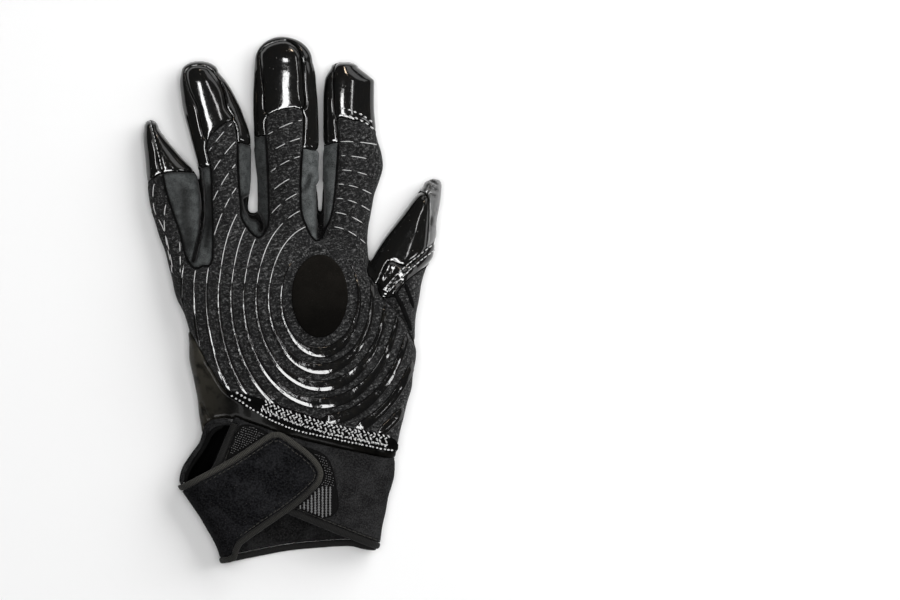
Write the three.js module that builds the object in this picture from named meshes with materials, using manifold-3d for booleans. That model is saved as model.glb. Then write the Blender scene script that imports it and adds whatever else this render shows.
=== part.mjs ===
// A left-hand sport glove lying palm down, in millimetres: +X towards the thumb, +Y towards the
// fingertips, +Z up out of the back of the hand, and the floor at z = 0.
// The glove is one hollow form, a hand tube joined with five finger tubes. Every sewn panel is a part of
// its wall, and what lies on the wall, such as a ridge or the strap, is a part of a skin outside it.

import * as THREE from 'three';
import { mergeVertices } from 'three/addons/utils/BufferGeometryUtils.js';
import Module from 'manifold-3d';

const wasm = await Module();
wasm.setup();

// Driving dimensions
const WALL = 1.6; // leather, knit and cuff walls
const GAP = 0.3; // running gap between neighbouring pieces
const SEAM_HEIGHT = 3.4; // where the palm leather meets the upper panels
const RIDGE_HEIGHT = 0.8;
const PAD_HEIGHT = 0.9;
const STRIP_HEIGHT = 0.9;
const PATCH_HEIGHT = 0.8;
const STRAP_THICKNESS = 2.2;
const BINDING_EXTRA = 0.45; // a binding stands this much prouder than the cloth that it edges
const BINDING_WIDTH = 3.1;
const TURN_OVERLAP = 1.4; // how far the cuff cloth that turns up is one with both of its layers
const RIDGE_LOW = 9; // ridges fade out lower than this on the glove's flanks
const CORNER_STEPS = 2; // facets in the round lower corner of a cross section
const DOME_STEPS = 3; // sections in a rounded fingertip
const TIP_LEVEL = 0.4; // how high a fingertip's end lies, as a share of the finger's height
const FLANK = { share: 0.42, highest: 6 }; // where a cross section is widest, as a share of its height
const REACH = 150; // half of a square that covers the whole glove
const PRISM = { low: -20, high: 60 }; // reach of the vertical cuts

const table = (columns, rows) =>
  rows.map((row) => Object.fromEntries(columns.map((name, i) => [name, row[i]])));

// Each tube runs towards +Y. A row is one upright cross section: its left and right edges and its top.
const STATION = ['y', 'left', 'right', 'high'];

const HAND = {
  crownSteps: 10, crown: 2.6,
  stations: table(STATION, [
    [-126, -27, 35, 16],
    [-113, -29.6, 38.3, 16],
    [-99, -36.6, 41.3, 16.5],
    [-88, -43.8, 43.4, 17],
    [-84, -46.6, 44.5, 17.2],
    [-79, -50, 45.7, 17.5],
    [-72, -46.4, 46.3, 17.8],
    [-63, -40.8, 47.5, 18],
    [-37, -44, 53.8, 20.2],
    [-24, -46.4, 55.6, 21.3],
    [-12, -46.9, 52, 21.3],
    [0, -51.6, 46, 20.8],
    [22, -57, 33.5, 17.4],
    [29, -59.2, 33, 13.5],
    [39, -62, 34, 4.6],
  ]),
};

const FINGER = { crownSteps: 7, crown: 2.1 };
const FINGERS = {
  little: {
    ...FINGER, tip: { x: -62, y: 80.4 },
    stations: table(STATION, [
      [8, -52, -30, 12],
      [29, -59.4, -37, 13],
      [43, -64.1, -40.4, 13],
      [55, -65.4, -42.7, 12.5],
      [65, -66.3, -50.2, 11.5],
      [73, -67.2, -55.9, 10.5],
    ]),
  },
  ring: {
    ...FINGER, tip: { x: -41.3, y: 107.1 },
    stations: table(STATION, [
      [14, -40, -18, 14],
      [43, -41, -19.2, 14.3],
      [58, -42.6, -17.8, 13.5],
      [70, -45.2, -17.9, 13],
      [84, -48.7, -22.2, 12.5],
      [96, -51, -27.9, 12],
    ]),
  },
  middle: {
    ...FINGER, tip: { x: -5, y: 118.1 },
    stations: table(STATION, [
      [14, -17, 12.6, 14.5],
      [43, -15.9, 12.7, 14.8],
      [58, -17.2, 12.3, 14],
      [74, -17.7, 11.8, 13.5],
      [90, -17.9, 10.8, 13],
      [101, -17.5, 9.1, 12.5],
    ]),
  },
  index: {
    ...FINGER, tip: { x: 23.2, y: 106.4 },
    stations: table(STATION, [
      [10, 11, 33.4, 14],
      [24, 12, 33.2, 14.5],
      [38, 12.4, 35.1, 14.5],
      [47, 12.8, 36.9, 14],
      [60, 12.8, 40.7, 13.7],
      [66, 12.9, 40, 13.5],
      [74, 13, 37.8, 13],
      [97, 14, 36.8, 12],
      [102, 16, 31.7, 11],
    ]),
  },
  thumb: {
    ...FINGER, tip: { x: 65, y: 54 },
    stations: table(STATION, [
      [-22, 40, 54.4, 13],
      [-8, 37, 55.4, 16],
      [2, 35.5, 57.2, 17],
      [12, 33.4, 59.6, 16.5],
      [20, 36.6, 63.3, 16],
      [40, 50.3, 65.7, 13.5],
      [48, 56.7, 66.9, 12],
    ]),
  },
};

// Panel outlines seen from above. They run past the glove's edge where a panel wraps over it.
const OUTLINES = {
  tip_panel_little: [[-63.1, 79.4], [-63.3, 86], [-56, 86], [-46, 70], [-40, 59], [-42.8, 57.1],
    [-57.7, 56.7], [-60.2, 67.3]],
  tip_panel_ring: [[-37.9, 71.1], [-42, 85.3], [-45.7, 93.6], [-47.6, 101], [-46.2, 103.7], [-43.4, 104.8],
    [-38.4, 104.2], [-34.7, 101], [-31, 94.1], [-29.4, 85.8], [-26.9, 80.3]],
  tip_panel_middle: [[-10.7, 82.7], [-12.4, 91.3], [-14.4, 108.5], [-13.4, 111.8], [-10.7, 114.3],
    [-4.9, 116], [-0.3, 115], [3.7, 109.7], [4.9, 94.3], [4.3, 85]],
  tip_panel_index: [[20.4, 81], [19, 90.7], [18.6, 98.8], [19.9, 107.8], [25.8, 114], [43, 104], [43, 73],
    [37.9, 74.9], [32.4, 79.4], [27.8, 80.1]],
  tip_zone_little: [[-72, 52.4], [-64.2, 52.9], [-57.7, 56.7], [-42.9, 57.2], [-41, 59], [-56, 88],
    [-72, 88]],
  tip_zone_ring: [[-43.1, 59.2], [-36.5, 60.1], [-37.9, 71.1], [-26.9, 80.3], [-24.4, 70.4], [-17.7, 69.5],
    [-19.7, 85.3], [-25.5, 101], [-31.8, 115], [-44, 115], [-56, 101], [-53, 89.8], [-48, 74]],
  tip_zone_middle: [[-17.6, 73.1], [-11.7, 73.6], [-10.7, 82.7], [4.3, 85], [4.8, 67.9], [12.7, 67.7],
    [11.8, 94.3], [11.5, 112.3], [3.3, 124], [-10.2, 124], [-20, 112.3], [-19.7, 94.3]],
  tip_zone_index: [[13.2, 69.5], [20.8, 70.4], [20.4, 81], [27.8, 80.1], [32.4, 79.4], [37.9, 74.9], [43, 73],
    [43, 101], [32.5, 114], [19, 114], [12.6, 101], [12.6, 89.8]],
  fourchette_little_ring: [[-57.7, 56.2], [-42.9, 56.9], [-43.1, 58.9], [-36.5, 59.8], [-35.7, 44.8],
    [-35.4, 18.2], [-39.5, 15.1], [-43.8, 14.2], [-47.6, 20], [-50.3, 30.4], [-55.2, 44.8]],
  fourchette_ring_middle: [[-24.4, 70], [-17.6, 69.1], [-17.6, 72.8], [-11.7, 73.3], [-10.3, 43],
    [-10.7, 33.1], [-13.4, 28.3], [-16.5, 28.3], [-21.9, 34.9], [-23.3, 43]],
  fourchette_middle_index: [[4.8, 67.6], [12.8, 67.4], [13.2, 69.2], [20.8, 70.1], [18.8, 43], [16.3, 34],
    [12.3, 26.8], [9.6, 27.2], [6.4, 33.1], [3.9, 43]],
  thumb_panel: [[30, 8], [30, 17.8], [44, 42], [55.9, 48.5], [61.2, 45], [60.2, 22.9], [50.5, 15.1],
    [43.5, 17.3], [38.4, 7.4]],
  thumb_gusset: [[55.9, 48.5], [55.9, 58], [71, 58], [71, 27.7], [64.9, 26.8], [60.2, 22.9], [61.2, 45]],
  thumb_seam_patch: [[60.2, 22.9], [64.9, 26.8], [71, 27.7], [71, 22.9], [62.7, 16.9], [50.7, 7.4],
    [46.3, 1.6], [40.6, 0.7], [38.4, 7.4], [43.5, 17.3], [50.5, 15.1]],
  thumb_base_panel: [[40.6, 0.7], [46.3, 1.6], [50.7, 7.4], [62.7, 16.9], [71, 22.9], [71, -20.5],
    [55.9, -20.5], [50.5, -10.1], [45.1, -3.4]],
  wrist_yoke: [[-56, -7.7], [-47.6, -11.9], [-39.9, -24.5], [-35, -32.6], [-27.3, -42.5], [-13.4, -48.4],
    [3.3, -56], [23.5, -61.4], [47.4, -65.9], [56, -67.2], [56, -75], [42, -70.9], [22.2, -66.8],
    [0.1, -61.4], [-21.5, -54.2], [-26.4, -53.7], [-31.8, -53.3], [-39, -56], [-40.4, -60.8], [-60, -65]],
  cuff_back: [[-26.4, -53.7], [-21.5, -54.2], [0.1, -61.4], [22.2, -66.8], [42, -70.9], [56, -75], [56, -119],
    [38.4, -112.3], [-1.5, -96.1], [-35, -80.3], [-34.9, -73.9]],
  cuff_palm: [[-60, -69], [-40.4, -64.8], [-31.8, -56.5], [-21.5, -57.4], [0.1, -64.6],
    [22.2, -70], [42, -74.1], [56, -78.2], [56, -113.5], [40, -113], [31, -112.2], [25, -110.9],
    [6.4, -112.1], [-5.7, -113.6], [-24.2, -117.3], [-29.4, -118.2], [-60, -118.2]],
  cuff_lip: [[-60, -65], [-40.4, -60.8], [-39, -56], [-31.8, -53.3], [-28.2, -53.6], [-30, -56.2],
    [-34, -58.5], [-37, -60.7], [-40, -65.3], [-43.5, -70.4], [-48.7, -79.9], [-52, -86], [-60, -90]],
  wrist_seam_strip: [[-27.3, -41.2], [-14.7, -43.9], [3.3, -50.2], [23.5, -56.5], [44.7, -61.4],
    [46.9, -68.2], [37.5, -66.8], [15, -61.9], [-1.2, -57.8], [-13.4, -52], [-27.3, -43.9]],
  hook_patch: [[-22.8, -56], [-9.3, -59.8], [6, -65.5], [15.2, -69.5], [18.9, -77], [21.2, -90.2],
    [20.1, -95.2], [15.2, -97.9], [7, -95.4], [-29.6, -78.2], [-30.2, -74]],
  strap: [[-60, -88.2], [-50.3, -83.1], [-27.3, -70.9], [-11.3, -60.3], [-7.8, -59.2], [-3.3, -59.8],
    [7.8, -67.8], [12.8, -73.4], [14.3, -77.4], [13.8, -80.4], [11.8, -83.9], [1.8, -92.9],
    [-22.3, -110], [-27.4, -117.8], [-62, -117.8]],
  ridged_back: [[-70, -70], [70, -70], [70, 30], [20, 30], [0, 27], [-34, 14], [-44, 13], [-70, 6]],
  cuff_fold: [[30, -78.5], [60, -80], [60, -109], [30, -106]],
  past_palm: [[-REACH, -REACH], [REACH, -REACH], [REACH, -60], [50, -78], [-60, -95]],
  everything: [[-REACH, -REACH], [REACH, -REACH], [REACH, REACH], [-REACH, REACH]],
};

// Cloth edges that are bound with tape. The tape lies on the right of each line as it runs.
const BOUND_EDGES = {
  palm_hem: [[60, -112.7], [40, -113], [31, -112.2], [25, -110.9], [6.4, -112.1], [-5.7, -113.6],
    [-24.2, -117.3], [-29.4, -118.2]],
  back_hem: [[50, -117], [38.4, -112.3], [-1.5, -96.1], [-35, -80.3], [-34.9, -73.9], [-26.9, -54.9]],
};

const OVAL_PAD = { x: 12.6, y: 1.6, halfWide: 12.8, halfLong: 18.8 };

// Oval ridges ring the pad. Ridge k lies between two ovals, and the inner one is set off so that the
// ridge is thin on the little finger's side and at the top, and broad towards the wrist.
const RIDGES = {
  count: 9, x: 12.9, stepX: 0.1, y: -0.45, stepY: 0.15,
  halfWide: 12.3, stepWide: 5.7, halfLong: 17.75, stepLong: 7.75,
  inner: { x: -0.2, y: 1.75, halfWide: 1.3, halfLong: 2.75 },
  segments: 28, smallest: 14,
};

const MATERIALS = {
  knit: { color: 0x2e2f31, roughness: 0.9, metalness: 0 },
  leather: { color: 0x0b0b0c, roughness: 0.16, metalness: 0 },
  spandex: { color: 0x3d4042, roughness: 0.65, metalness: 0 },
  silicone: { color: 0x0d0d0e, roughness: 0.12, metalness: 0 },
  suede: { color: 0x100f0f, roughness: 0.95, metalness: 0 },
  neoprene: { color: 0x151517, roughness: 0.88, metalness: 0 },
  hook: { color: 0x55585a, roughness: 0.5, metalness: 0 },
  binding: { color: 0x232220, roughness: 0.8, metalness: 0 },
};

// A closed geometry as a solid that can be cut and joined.
function solidOf(geometry) {
  const bare = geometry.clone();
  bare.deleteAttribute('normal');
  bare.deleteAttribute('uv');
  const merged = mergeVertices(bare, 1e-4);
  return new wasm.Manifold(new wasm.Mesh({
    numProp: 3,
    vertProperties: merged.attributes.position.array,
    triVerts: new Uint32Array(merged.index.array),
  }));
}

function geometryOf(solid) {
  const { numProp, numVert, vertProperties, triVerts } = solid.getMesh();
  const positions = new Float32Array(numVert * 3);
  for (let i = 0; i < numVert; i++) {
    positions.set(vertProperties.subarray(i * numProp, i * numProp + 3), i * 3);
  }
  const geometry = new THREE.BufferGeometry();
  geometry.setAttribute('position', new THREE.BufferAttribute(positions, 3));
  geometry.setIndex(new THREE.BufferAttribute(triVerts, 1));
  geometry.computeVertexNormals();
  return geometry;
}

// A power of a sine or cosine that keeps its sign, for superellipses.
const power = (value, exponent) => Math.sign(value) * Math.abs(value) ** exponent;

const steps = (count, from, to) =>
  Array.from({ length: count + 1 }, (_, i) => from + ((to - from) * i) / count);

// One upright cross section: crowned on top, with round lower corners and a flat underside. Each edge
// moves out by the offset, measured square to the way that it runs.
function section({ y, left, right, high, slantLeft, slantRight }, { crownSteps, crown }, offset) {
  const [west, east] = [left - offset * slantLeft, right + offset * slantRight];
  const [middle, half] = [(west + east) / 2, (east - west) / 2];
  const flank = Math.min(FLANK.share * high, FLANK.highest);
  const rise = high + offset - flank;
  const corner = flank + offset;
  const crownPoints = steps(crownSteps, 0, Math.PI).map((angle) => new THREE.Vector3(
    middle + half * power(Math.cos(angle), 2 / crown), y, flank + rise * Math.sin(angle) ** (2 / crown),
  ));
  const cornerPoints = (side) => steps(CORNER_STEPS, 0, Math.PI / 2).slice(1).map((angle) =>
    new THREE.Vector3(
      middle + side * (half - corner * (1 - Math.cos(angle))), y, flank - corner * Math.sin(angle),
    ));
  return [...crownPoints, ...cornerPoints(-1), ...cornerPoints(1).reverse()];
}

// How much longer an offset is when measured along X, where an edge runs at a slant.
function slant(stations, i, edge) {
  const [a, b] = [stations[Math.max(i - 1, 0)], stations[Math.min(i + 1, stations.length - 1)]];
  return Math.hypot(1, (b[edge] - a[edge]) / (b.y - a.y));
}

// The rounded end of a fingertip: its last section shrinks towards the tip.
function dome(last, shape, offset) {
  const reach = shape.tip.y + offset - last.y;
  const middle = (last.left + last.right) / 2;
  return steps(DOME_STEPS, 0, Math.PI / 2).slice(1, -1).map((angle) => {
    const across = Math.cos(angle);
    const centre = last.high * (0.5 + (TIP_LEVEL - 0.5) * (1 - across));
    return section({ ...last, y: last.y + reach * Math.sin(angle) }, shape, offset).map((p) => p.set(
      middle + (shape.tip.x - middle) * (1 - across) + (p.x - middle) * across,
      p.y,
      Math.max(centre + (p.z - last.high / 2) * across, -offset),
    ));
  });
}

// A tube through its stations, with its whole surface moved out by the offset.
function tube(shape, offset) {
  const rows = shape.stations.map((row, i) => ({
    ...row,
    slantLeft: slant(shape.stations, i, 'left'),
    slantRight: slant(shape.stations, i, 'right'),
  }));
  const [first, last] = [rows[0], rows[rows.length - 1]];
  const rings = rows.map((row) => section(row, shape, offset));
  const apex = new THREE.Vector3((last.left + last.right) / 2, last.y, last.high / 2);
  if (shape.tip) {
    rings.push(...dome(last, shape, offset));
    apex.set(shape.tip.x, shape.tip.y + offset, last.high * TIP_LEVEL);
  }
  const base = new THREE.Vector3((first.left + first.right) / 2, first.y, first.high / 2);
  const points = [...rings.flat(), base, apex];
  const n = rings[0].length;
  const indices = [];
  for (let i = 0; i < n; i++) {
    const j = (i + 1) % n;
    const top = (rings.length - 1) * n;
    indices.push(points.length - 2, i, j);
    for (let k = 0; k < top; k += n) {
      indices.push(k + i, k + n + i, k + j, k + j, k + n + i, k + n + j);
    }
    indices.push(points.length - 1, top + j, top + i);
  }
  const geometry = new THREE.BufferGeometry().setFromPoints(points);
  geometry.setIndex(indices);
  return solidOf(geometry);
}

// The whole glove's form, with its surface moved out by offset.
const formCache = new Map();
function form(offset) {
  if (!formCache.has(offset)) {
    const tubes = [HAND, ...Object.values(FINGERS)].map((each) => tube(each, offset));
    formCache.set(offset, tubes.reduce((whole, each) => whole.add(each)));
  }
  return formCache.get(offset);
}

// The space between two offsets of the form.
const skin = (from, thickness) => form(from + thickness).subtract(form(from));

// A plan outline moved outwards by some distance, or inwards if it is negative.
function grow(outline, distance) {
  const n = outline.length;
  const area = outline.reduce((sum, [x, y], i) => {
    const [u, v] = outline[(i + 1) % n];
    return sum + x * v - u * y;
  }, 0);
  const side = Math.sign(area) * distance;
  return outline.map(([x, y], i) => {
    const [before, after] = [outline[(i + n - 1) % n], outline[(i + 1) % n]];
    const a = new THREE.Vector2(x - before[0], y - before[1]).normalize();
    const b = new THREE.Vector2(after[0] - x, after[1] - y).normalize();
    const normal = new THREE.Vector2(a.y + b.y, -a.x - b.x).normalize();
    const stretch = 1 / Math.max(normal.dot(new THREE.Vector2(a.y, -a.x)), 0.5);
    return [x + normal.x * side * stretch, y + normal.y * side * stretch];
  });
}

function extrude(shape, low, high) {
  const geometry = new THREE.ExtrudeGeometry(shape, { depth: high - low, bevelEnabled: false });
  return solidOf(geometry.translate(0, 0, low));
}

// A vertical prism over a plan outline.
function prism(outline, { low, high } = PRISM) {
  return extrude(new THREE.Shape(outline.map(([x, y]) => new THREE.Vector2(x, y))), low, high);
}

function ovalPrism(x, y, halfWide, halfLong, segments) {
  const curve = new THREE.EllipseCurve(x, y, halfWide, halfLong);
  return extrude(new THREE.Shape(curve.getPoints(segments).slice(0, -1)), PRISM.low, PRISM.high);
}

const zone = (name, distance = 0) => prism(grow(OUTLINES[name], distance));

// A prism over the strip on the right of a bent line, from one distance to another.
function strip(line, from, to) {
  const shifted = (distance) => line.map(([x, y], i) => {
    const [before, after] = [line[Math.max(i - 1, 0)], line[Math.min(i + 1, line.length - 1)]];
    const along = new THREE.Vector2(after[0] - before[0], after[1] - before[1]).normalize();
    return [x + along.y * distance, y - along.x * distance];
  });
  return prism([...shifted(from), ...shifted(to).reverse()]);
}

const glove = new THREE.Group();

const finishes = Object.fromEntries(
  Object.entries(MATERIALS).map(([name, look]) => [name, new THREE.MeshStandardMaterial(look)]),
);

// Adds one named piece. Crumbs that a cut leaves beside it are dropped.
function add(name, finish, solid) {
  const [body] = solid.decompose().sort((a, b) => b.volume() - a.volume());
  const mesh = new THREE.Mesh(geometryOf(body), finishes[finish]);
  mesh.name = name;
  glove.add(mesh);
}

const shell = form(0).subtract(form(-WALL));
const slab = (low, high) => prism(OUTLINES.everything, { low, high });
const above = slab(SEAM_HEIGHT + GAP / 2, PRISM.high);
const below = slab(PRISM.low, SEAM_HEIGHT - GAP / 2);
const upper = shell.intersect(above);
const lower = shell.intersect(below);

// The palm: one flat sheet of leather whose edges turn up all round.
add('palm_panel', 'leather', lower.subtract(zone('cuff_palm', GAP / 2)).subtract(zone('past_palm')));

// Upper panels. A zone is cut half a gap inside its outline, and the back panel half a gap outside them.
const FINGERTIPS = ['little', 'ring', 'middle', 'index'];
for (const finger of FINGERTIPS) {
  const cap = upper.intersect(zone(`tip_zone_${finger}`, -GAP / 2));
  add(`tip_panel_${finger}`, 'leather', cap.intersect(zone(`tip_panel_${finger}`, -GAP / 2)));
  add(`tip_gusset_${finger}`, 'leather', cap.subtract(zone(`tip_panel_${finger}`, GAP / 2)));
}
const FOURCHETTES = ['fourchette_little_ring', 'fourchette_ring_middle', 'fourchette_middle_index'];
for (const name of FOURCHETTES) {
  add(name, 'spandex', upper.intersect(zone(name, -GAP / 2)));
}
add('thumb_panel', 'leather', upper.intersect(zone('thumb_panel', -GAP / 2)));
add('thumb_gusset', 'leather', upper.intersect(zone('thumb_gusset', -GAP / 2)));
add('thumb_seam_patch', 'leather', upper.intersect(zone('thumb_seam_patch', -GAP / 2)));
add('thumb_base_panel', 'knit', upper.intersect(zone('thumb_base_panel', -GAP / 2)));
add('wrist_yoke', 'leather', upper.intersect(zone('wrist_yoke', -GAP / 2)));

const NOT_BACK = [
  ...FINGERTIPS.map((finger) => `tip_zone_${finger}`),
  ...FOURCHETTES, 'thumb_panel', 'thumb_gusset', 'thumb_seam_patch', 'thumb_base_panel', 'wrist_yoke',
  'cuff_back', 'cuff_palm', 'cuff_lip', 'past_palm',
];
const beside = (distance) => NOT_BACK
  .map((name) => zone(name, distance))
  .reduce((whole, each) => whole.add(each));
add('back_panel', 'knit', upper.subtract(beside(GAP / 2)));

// What lies on the back: the oval pad, its ridges and the stitched strip over the wrist seam.
add('oval_pad', 'suede', skin(GAP, PAD_HEIGHT).intersect(above)
  .intersect(ovalPrism(OVAL_PAD.x, OVAL_PAD.y, OVAL_PAD.halfWide, OVAL_PAD.halfLong, RIDGES.segments)));
add('wrist_seam_strip', 'leather',
  skin(GAP, STRIP_HEIGHT).intersect(above).intersect(zone('wrist_seam_strip')));

const ridgeSkin = skin(GAP, RIDGE_HEIGHT)
  .intersect(slab(RIDGE_LOW, PRISM.high))
  .intersect(zone('ridged_back'))
  .subtract(beside(GAP * 2))
  .subtract(zone('wrist_seam_strip', GAP));
for (let k = 1; k <= RIDGES.count; k++) {
  const [x, y] = [RIDGES.x + RIDGES.stepX * k, RIDGES.y + RIDGES.stepY * k];
  const [wide, long] = [RIDGES.halfWide + RIDGES.stepWide * k, RIDGES.halfLong + RIDGES.stepLong * k];
  const { inner: set, segments } = RIDGES;
  const outer = ovalPrism(x, y, wide, long, segments);
  const inner = ovalPrism(x + set.x, y + set.y, wide - set.halfWide, long - set.halfLong, segments);
  ridgeSkin.intersect(outer.subtract(inner)).decompose()
    .filter((body) => body.volume() > RIDGES.smallest)
    .sort((a, b) => b.volume() - a.volume())
    .forEach((body, i) => add(`ridge_${k}${'abcdef'[i]}`, 'silicone', body));
}

// The cuff: one wrap of cloth, closed at the thumb's side. Its palm layer is longer than its back layer,
// and turns up at the other side into the lip of the slit.
const offFloor = slab(0, PRISM.high);
const bindingSkin = form(BINDING_EXTRA).subtract(form(-WALL - BINDING_EXTRA)).intersect(offFloor);
const hem = (line) => ({
  cloth: strip(line, -1, BINDING_WIDTH + GAP / 2), tape: strip(line, 0, BINDING_WIDTH - GAP / 2),
});
const [palmHem, backHem] = [hem(BOUND_EDGES.palm_hem), hem(BOUND_EDGES.back_hem)];
const cuffPalm = lower.intersect(zone('cuff_palm', -GAP / 2)).subtract(palmHem.cloth);
const cuffBack = upper.intersect(zone('cuff_back', -GAP / 2)).subtract(backHem.cloth);
const lipZone = zone('cuff_lip', -GAP / 2);
const turns = shell
  .intersect(slab(SEAM_HEIGHT - TURN_OVERLAP, SEAM_HEIGHT + TURN_OVERLAP))
  .intersect(zone('cuff_palm', -GAP / 2))
  .intersect(zone('cuff_fold').add(lipZone));
add('cuff_wrap', 'neoprene', cuffPalm.add(cuffBack).add(turns).add(upper.intersect(lipZone)));
add('palm_hem_binding', 'binding', bindingSkin.intersect(below).intersect(palmHem.tape));
add('back_hem_binding', 'binding', bindingSkin.intersect(above).intersect(backHem.tape));

add('hook_patch', 'hook', skin(GAP, PATCH_HEIGHT).intersect(above).intersect(zone('hook_patch')));

// The strap leaves the palm layer's edge, folds over and lies on the hook patch.
const strapSkin = (extra) =>
  skin(2 * GAP + PATCH_HEIGHT, STRAP_THICKNESS + extra).intersect(offFloor);
add('strap_panel', 'neoprene', strapSkin(0).intersect(zone('strap', -BINDING_WIDTH)));
add('strap_binding', 'binding', strapSkin(BINDING_EXTRA)
  .intersect(zone('strap')).subtract(zone('strap', GAP - BINDING_WIDTH)));

export default glove;
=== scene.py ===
"""Dresses the left-hand sport glove that lies palm down: skins, ridges, seams, cuff, strap and finishes.

The glove's form is one smooth field of tubes, the same as in the part's source. Every sewn panel is cut from
that field's wall, and what lies on the glove is laid along it. Lengths are in millimetres, and those of the
floor and the lights in metres.
"""

import logging
import math
from dataclasses import dataclass, field
from enum import Enum
from typing import Callable, Iterable, Sequence, Union

import bpy
import numpy as np
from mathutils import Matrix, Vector


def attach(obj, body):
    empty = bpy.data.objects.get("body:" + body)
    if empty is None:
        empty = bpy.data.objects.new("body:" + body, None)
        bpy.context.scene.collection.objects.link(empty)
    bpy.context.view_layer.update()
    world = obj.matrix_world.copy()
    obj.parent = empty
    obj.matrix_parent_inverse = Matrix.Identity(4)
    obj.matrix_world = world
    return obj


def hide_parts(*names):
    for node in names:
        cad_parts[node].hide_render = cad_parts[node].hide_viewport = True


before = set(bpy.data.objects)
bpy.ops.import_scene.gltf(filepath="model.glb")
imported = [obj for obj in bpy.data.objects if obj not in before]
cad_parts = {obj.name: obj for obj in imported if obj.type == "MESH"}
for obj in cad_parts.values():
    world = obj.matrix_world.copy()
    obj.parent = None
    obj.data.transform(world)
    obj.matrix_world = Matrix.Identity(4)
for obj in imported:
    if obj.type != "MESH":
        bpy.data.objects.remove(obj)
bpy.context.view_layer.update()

log = logging.getLogger("glove")

MM = 0.001
WALL = 1.6
GAP = 0.2
SEAM_HEIGHT = 3.4
FAR = 9.0
FLOOR_GAP = 0.02
LINE_STEP = 0.5
SEED = 20

Array = np.ndarray
Pair = tuple[float, float]
Point = tuple[float, float, float]
Colour = tuple[float, float, float]
Outline = Sequence[Pair]
Number = Union[float, "Link"]


# Plain geometry in the plan


def refine(points: Outline, closed: bool = True, rounds: int = 2) -> Array:
    """Draws a smooth line through the points of an outline.

    Args:
        points: the corners in order.
        closed: whether the last corner joins the first.
        rounds: how often the number of points is doubled.

    Returns:
        The points of the smooth line, one row each.
    """
    line = np.asarray(points, float)
    for _ in range(rounds):
        if closed:
            ring = [np.roll(line, 1, 0), line, np.roll(line, -1, 0), np.roll(line, -2, 0)]
        else:
            ends = np.vstack([2 * line[0] - line[1], line, 2 * line[-1] - line[-2]])
            ring = [ends[:-3], ends[1:-2], ends[2:-1], ends[3:]]
        middle = (9 * (ring[1] + ring[2]) - ring[0] - ring[3]) / 16
        start = ring[1]
        mixed = np.empty((len(start) + len(middle), line.shape[1]))
        mixed[0::2], mixed[1::2] = start, middle
        line = mixed if closed else np.vstack([mixed, line[-1]])
    return line


def resample(line: Array, spacing: float) -> Array:
    """Spreads points evenly along a line, about one spacing apart."""
    lengths = np.r_[0, np.cumsum(np.linalg.norm(np.diff(line, axis=0), axis=1))]
    count = max(int(round(lengths[-1] / spacing)), 2)
    at = np.linspace(0, lengths[-1], count + 1)
    return np.stack([np.interp(at, lengths, line[:, i]) for i in range(line.shape[1])], 1)


def curve(points: Outline, spacing: float = LINE_STEP) -> Array:
    """Draws an open smooth line through a few points, with its own points evenly spread."""
    return resample(refine(points, closed=False), spacing)


def beside(line: Array, far: Union[float, Array]) -> Array:
    """Moves the points of a line to its right."""
    way = np.gradient(line, axis=0)
    way /= np.maximum(np.linalg.norm(way, axis=1), 1e-9)[:, None]
    return line + np.reshape(far, (-1, 1)) * np.stack([way[:, 1], -way[:, 0]], 1)


def polygon_distance(outline: Array, x: Array, y: Array) -> Array:
    """Signed distance from points to an outline, below zero inside it.

    Args:
        outline: the corners of a closed outline, one row each.
        x: the points' x.
        y: the points' y.

    Returns:
        The distances, of the shape of x.
    """
    nearest = np.full(x.shape, np.inf)
    inside = np.zeros(x.shape, bool)
    for (ax, ay), (bx, by) in zip(outline, np.roll(outline, -1, 0)):
        ex, ey = bx - ax, by - ay
        length = ex * ex + ey * ey
        if length < 1e-12:
            continue
        share = np.clip(((x - ax) * ex + (y - ay) * ey) / length, 0, 1)
        nearest = np.minimum(nearest, (x - ax - share * ex) ** 2 + (y - ay - share * ey) ** 2)
        if ay != by:
            inside ^= ((ay > y) != (by > y)) & (x < (y - ay) * ex / ey + ax)
    return np.where(inside, -1, 1) * np.sqrt(nearest)


def line_place(line: Array, x: Array, y: Array) -> tuple[Array, Array]:
    """Finds where points lie beside an open line.

    Args:
        line: the points of the line.
        x: the points' x.
        y: the points' y.

    Returns:
        The distance from the line, and how far along it the nearest place is.
    """
    nearest, along, run = np.full(x.shape, np.inf), np.zeros(x.shape), 0.0
    for (ax, ay), (bx, by) in zip(line[:-1], line[1:]):
        ex, ey = bx - ax, by - ay
        length = math.hypot(ex, ey)
        share = np.clip(((x - ax) * ex + (y - ay) * ey) / max(length**2, 1e-9), 0, 1)
        far = np.hypot(x - ax - share * ex, y - ay - share * ey)
        along = np.where(far < nearest, run + share * length, along)
        nearest, run = np.minimum(far, nearest), run + length
    return nearest, along


def soft_max(a: Array, b: Array, radius: float) -> Array:
    """The larger of two fields, with the edge between them rounded."""
    h = np.clip(0.5 + 0.5 * (a - b) / radius, 0, 1)
    return b + (a - b) * h + radius * h * (1 - h)


def soft_min(a: Array, b: Array, radius: float) -> Array:
    """The smaller of two fields, with the crease between them filled."""
    return -soft_max(-a, -b, radius)


def ramp(values: Array, start: float, full: float, most: float = 1.0) -> Array:
    """How far values have gone from a start to a full mark, from 0 to a limit."""
    return np.clip((values - start) / (full - start), 0, most)


def blur(values: Array, rounds: int) -> Array:
    """Smooths a grid of values along each of its axes."""
    for _ in range(rounds):
        for axis in range(values.ndim):
            moved = np.moveaxis(values, axis, 0)
            padded = np.concatenate([moved[:1], moved, moved[-1:]])
            values = np.moveaxis((padded[:-2] + 2 * moved + padded[2:]) / 4, 0, axis)
    return values


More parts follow.
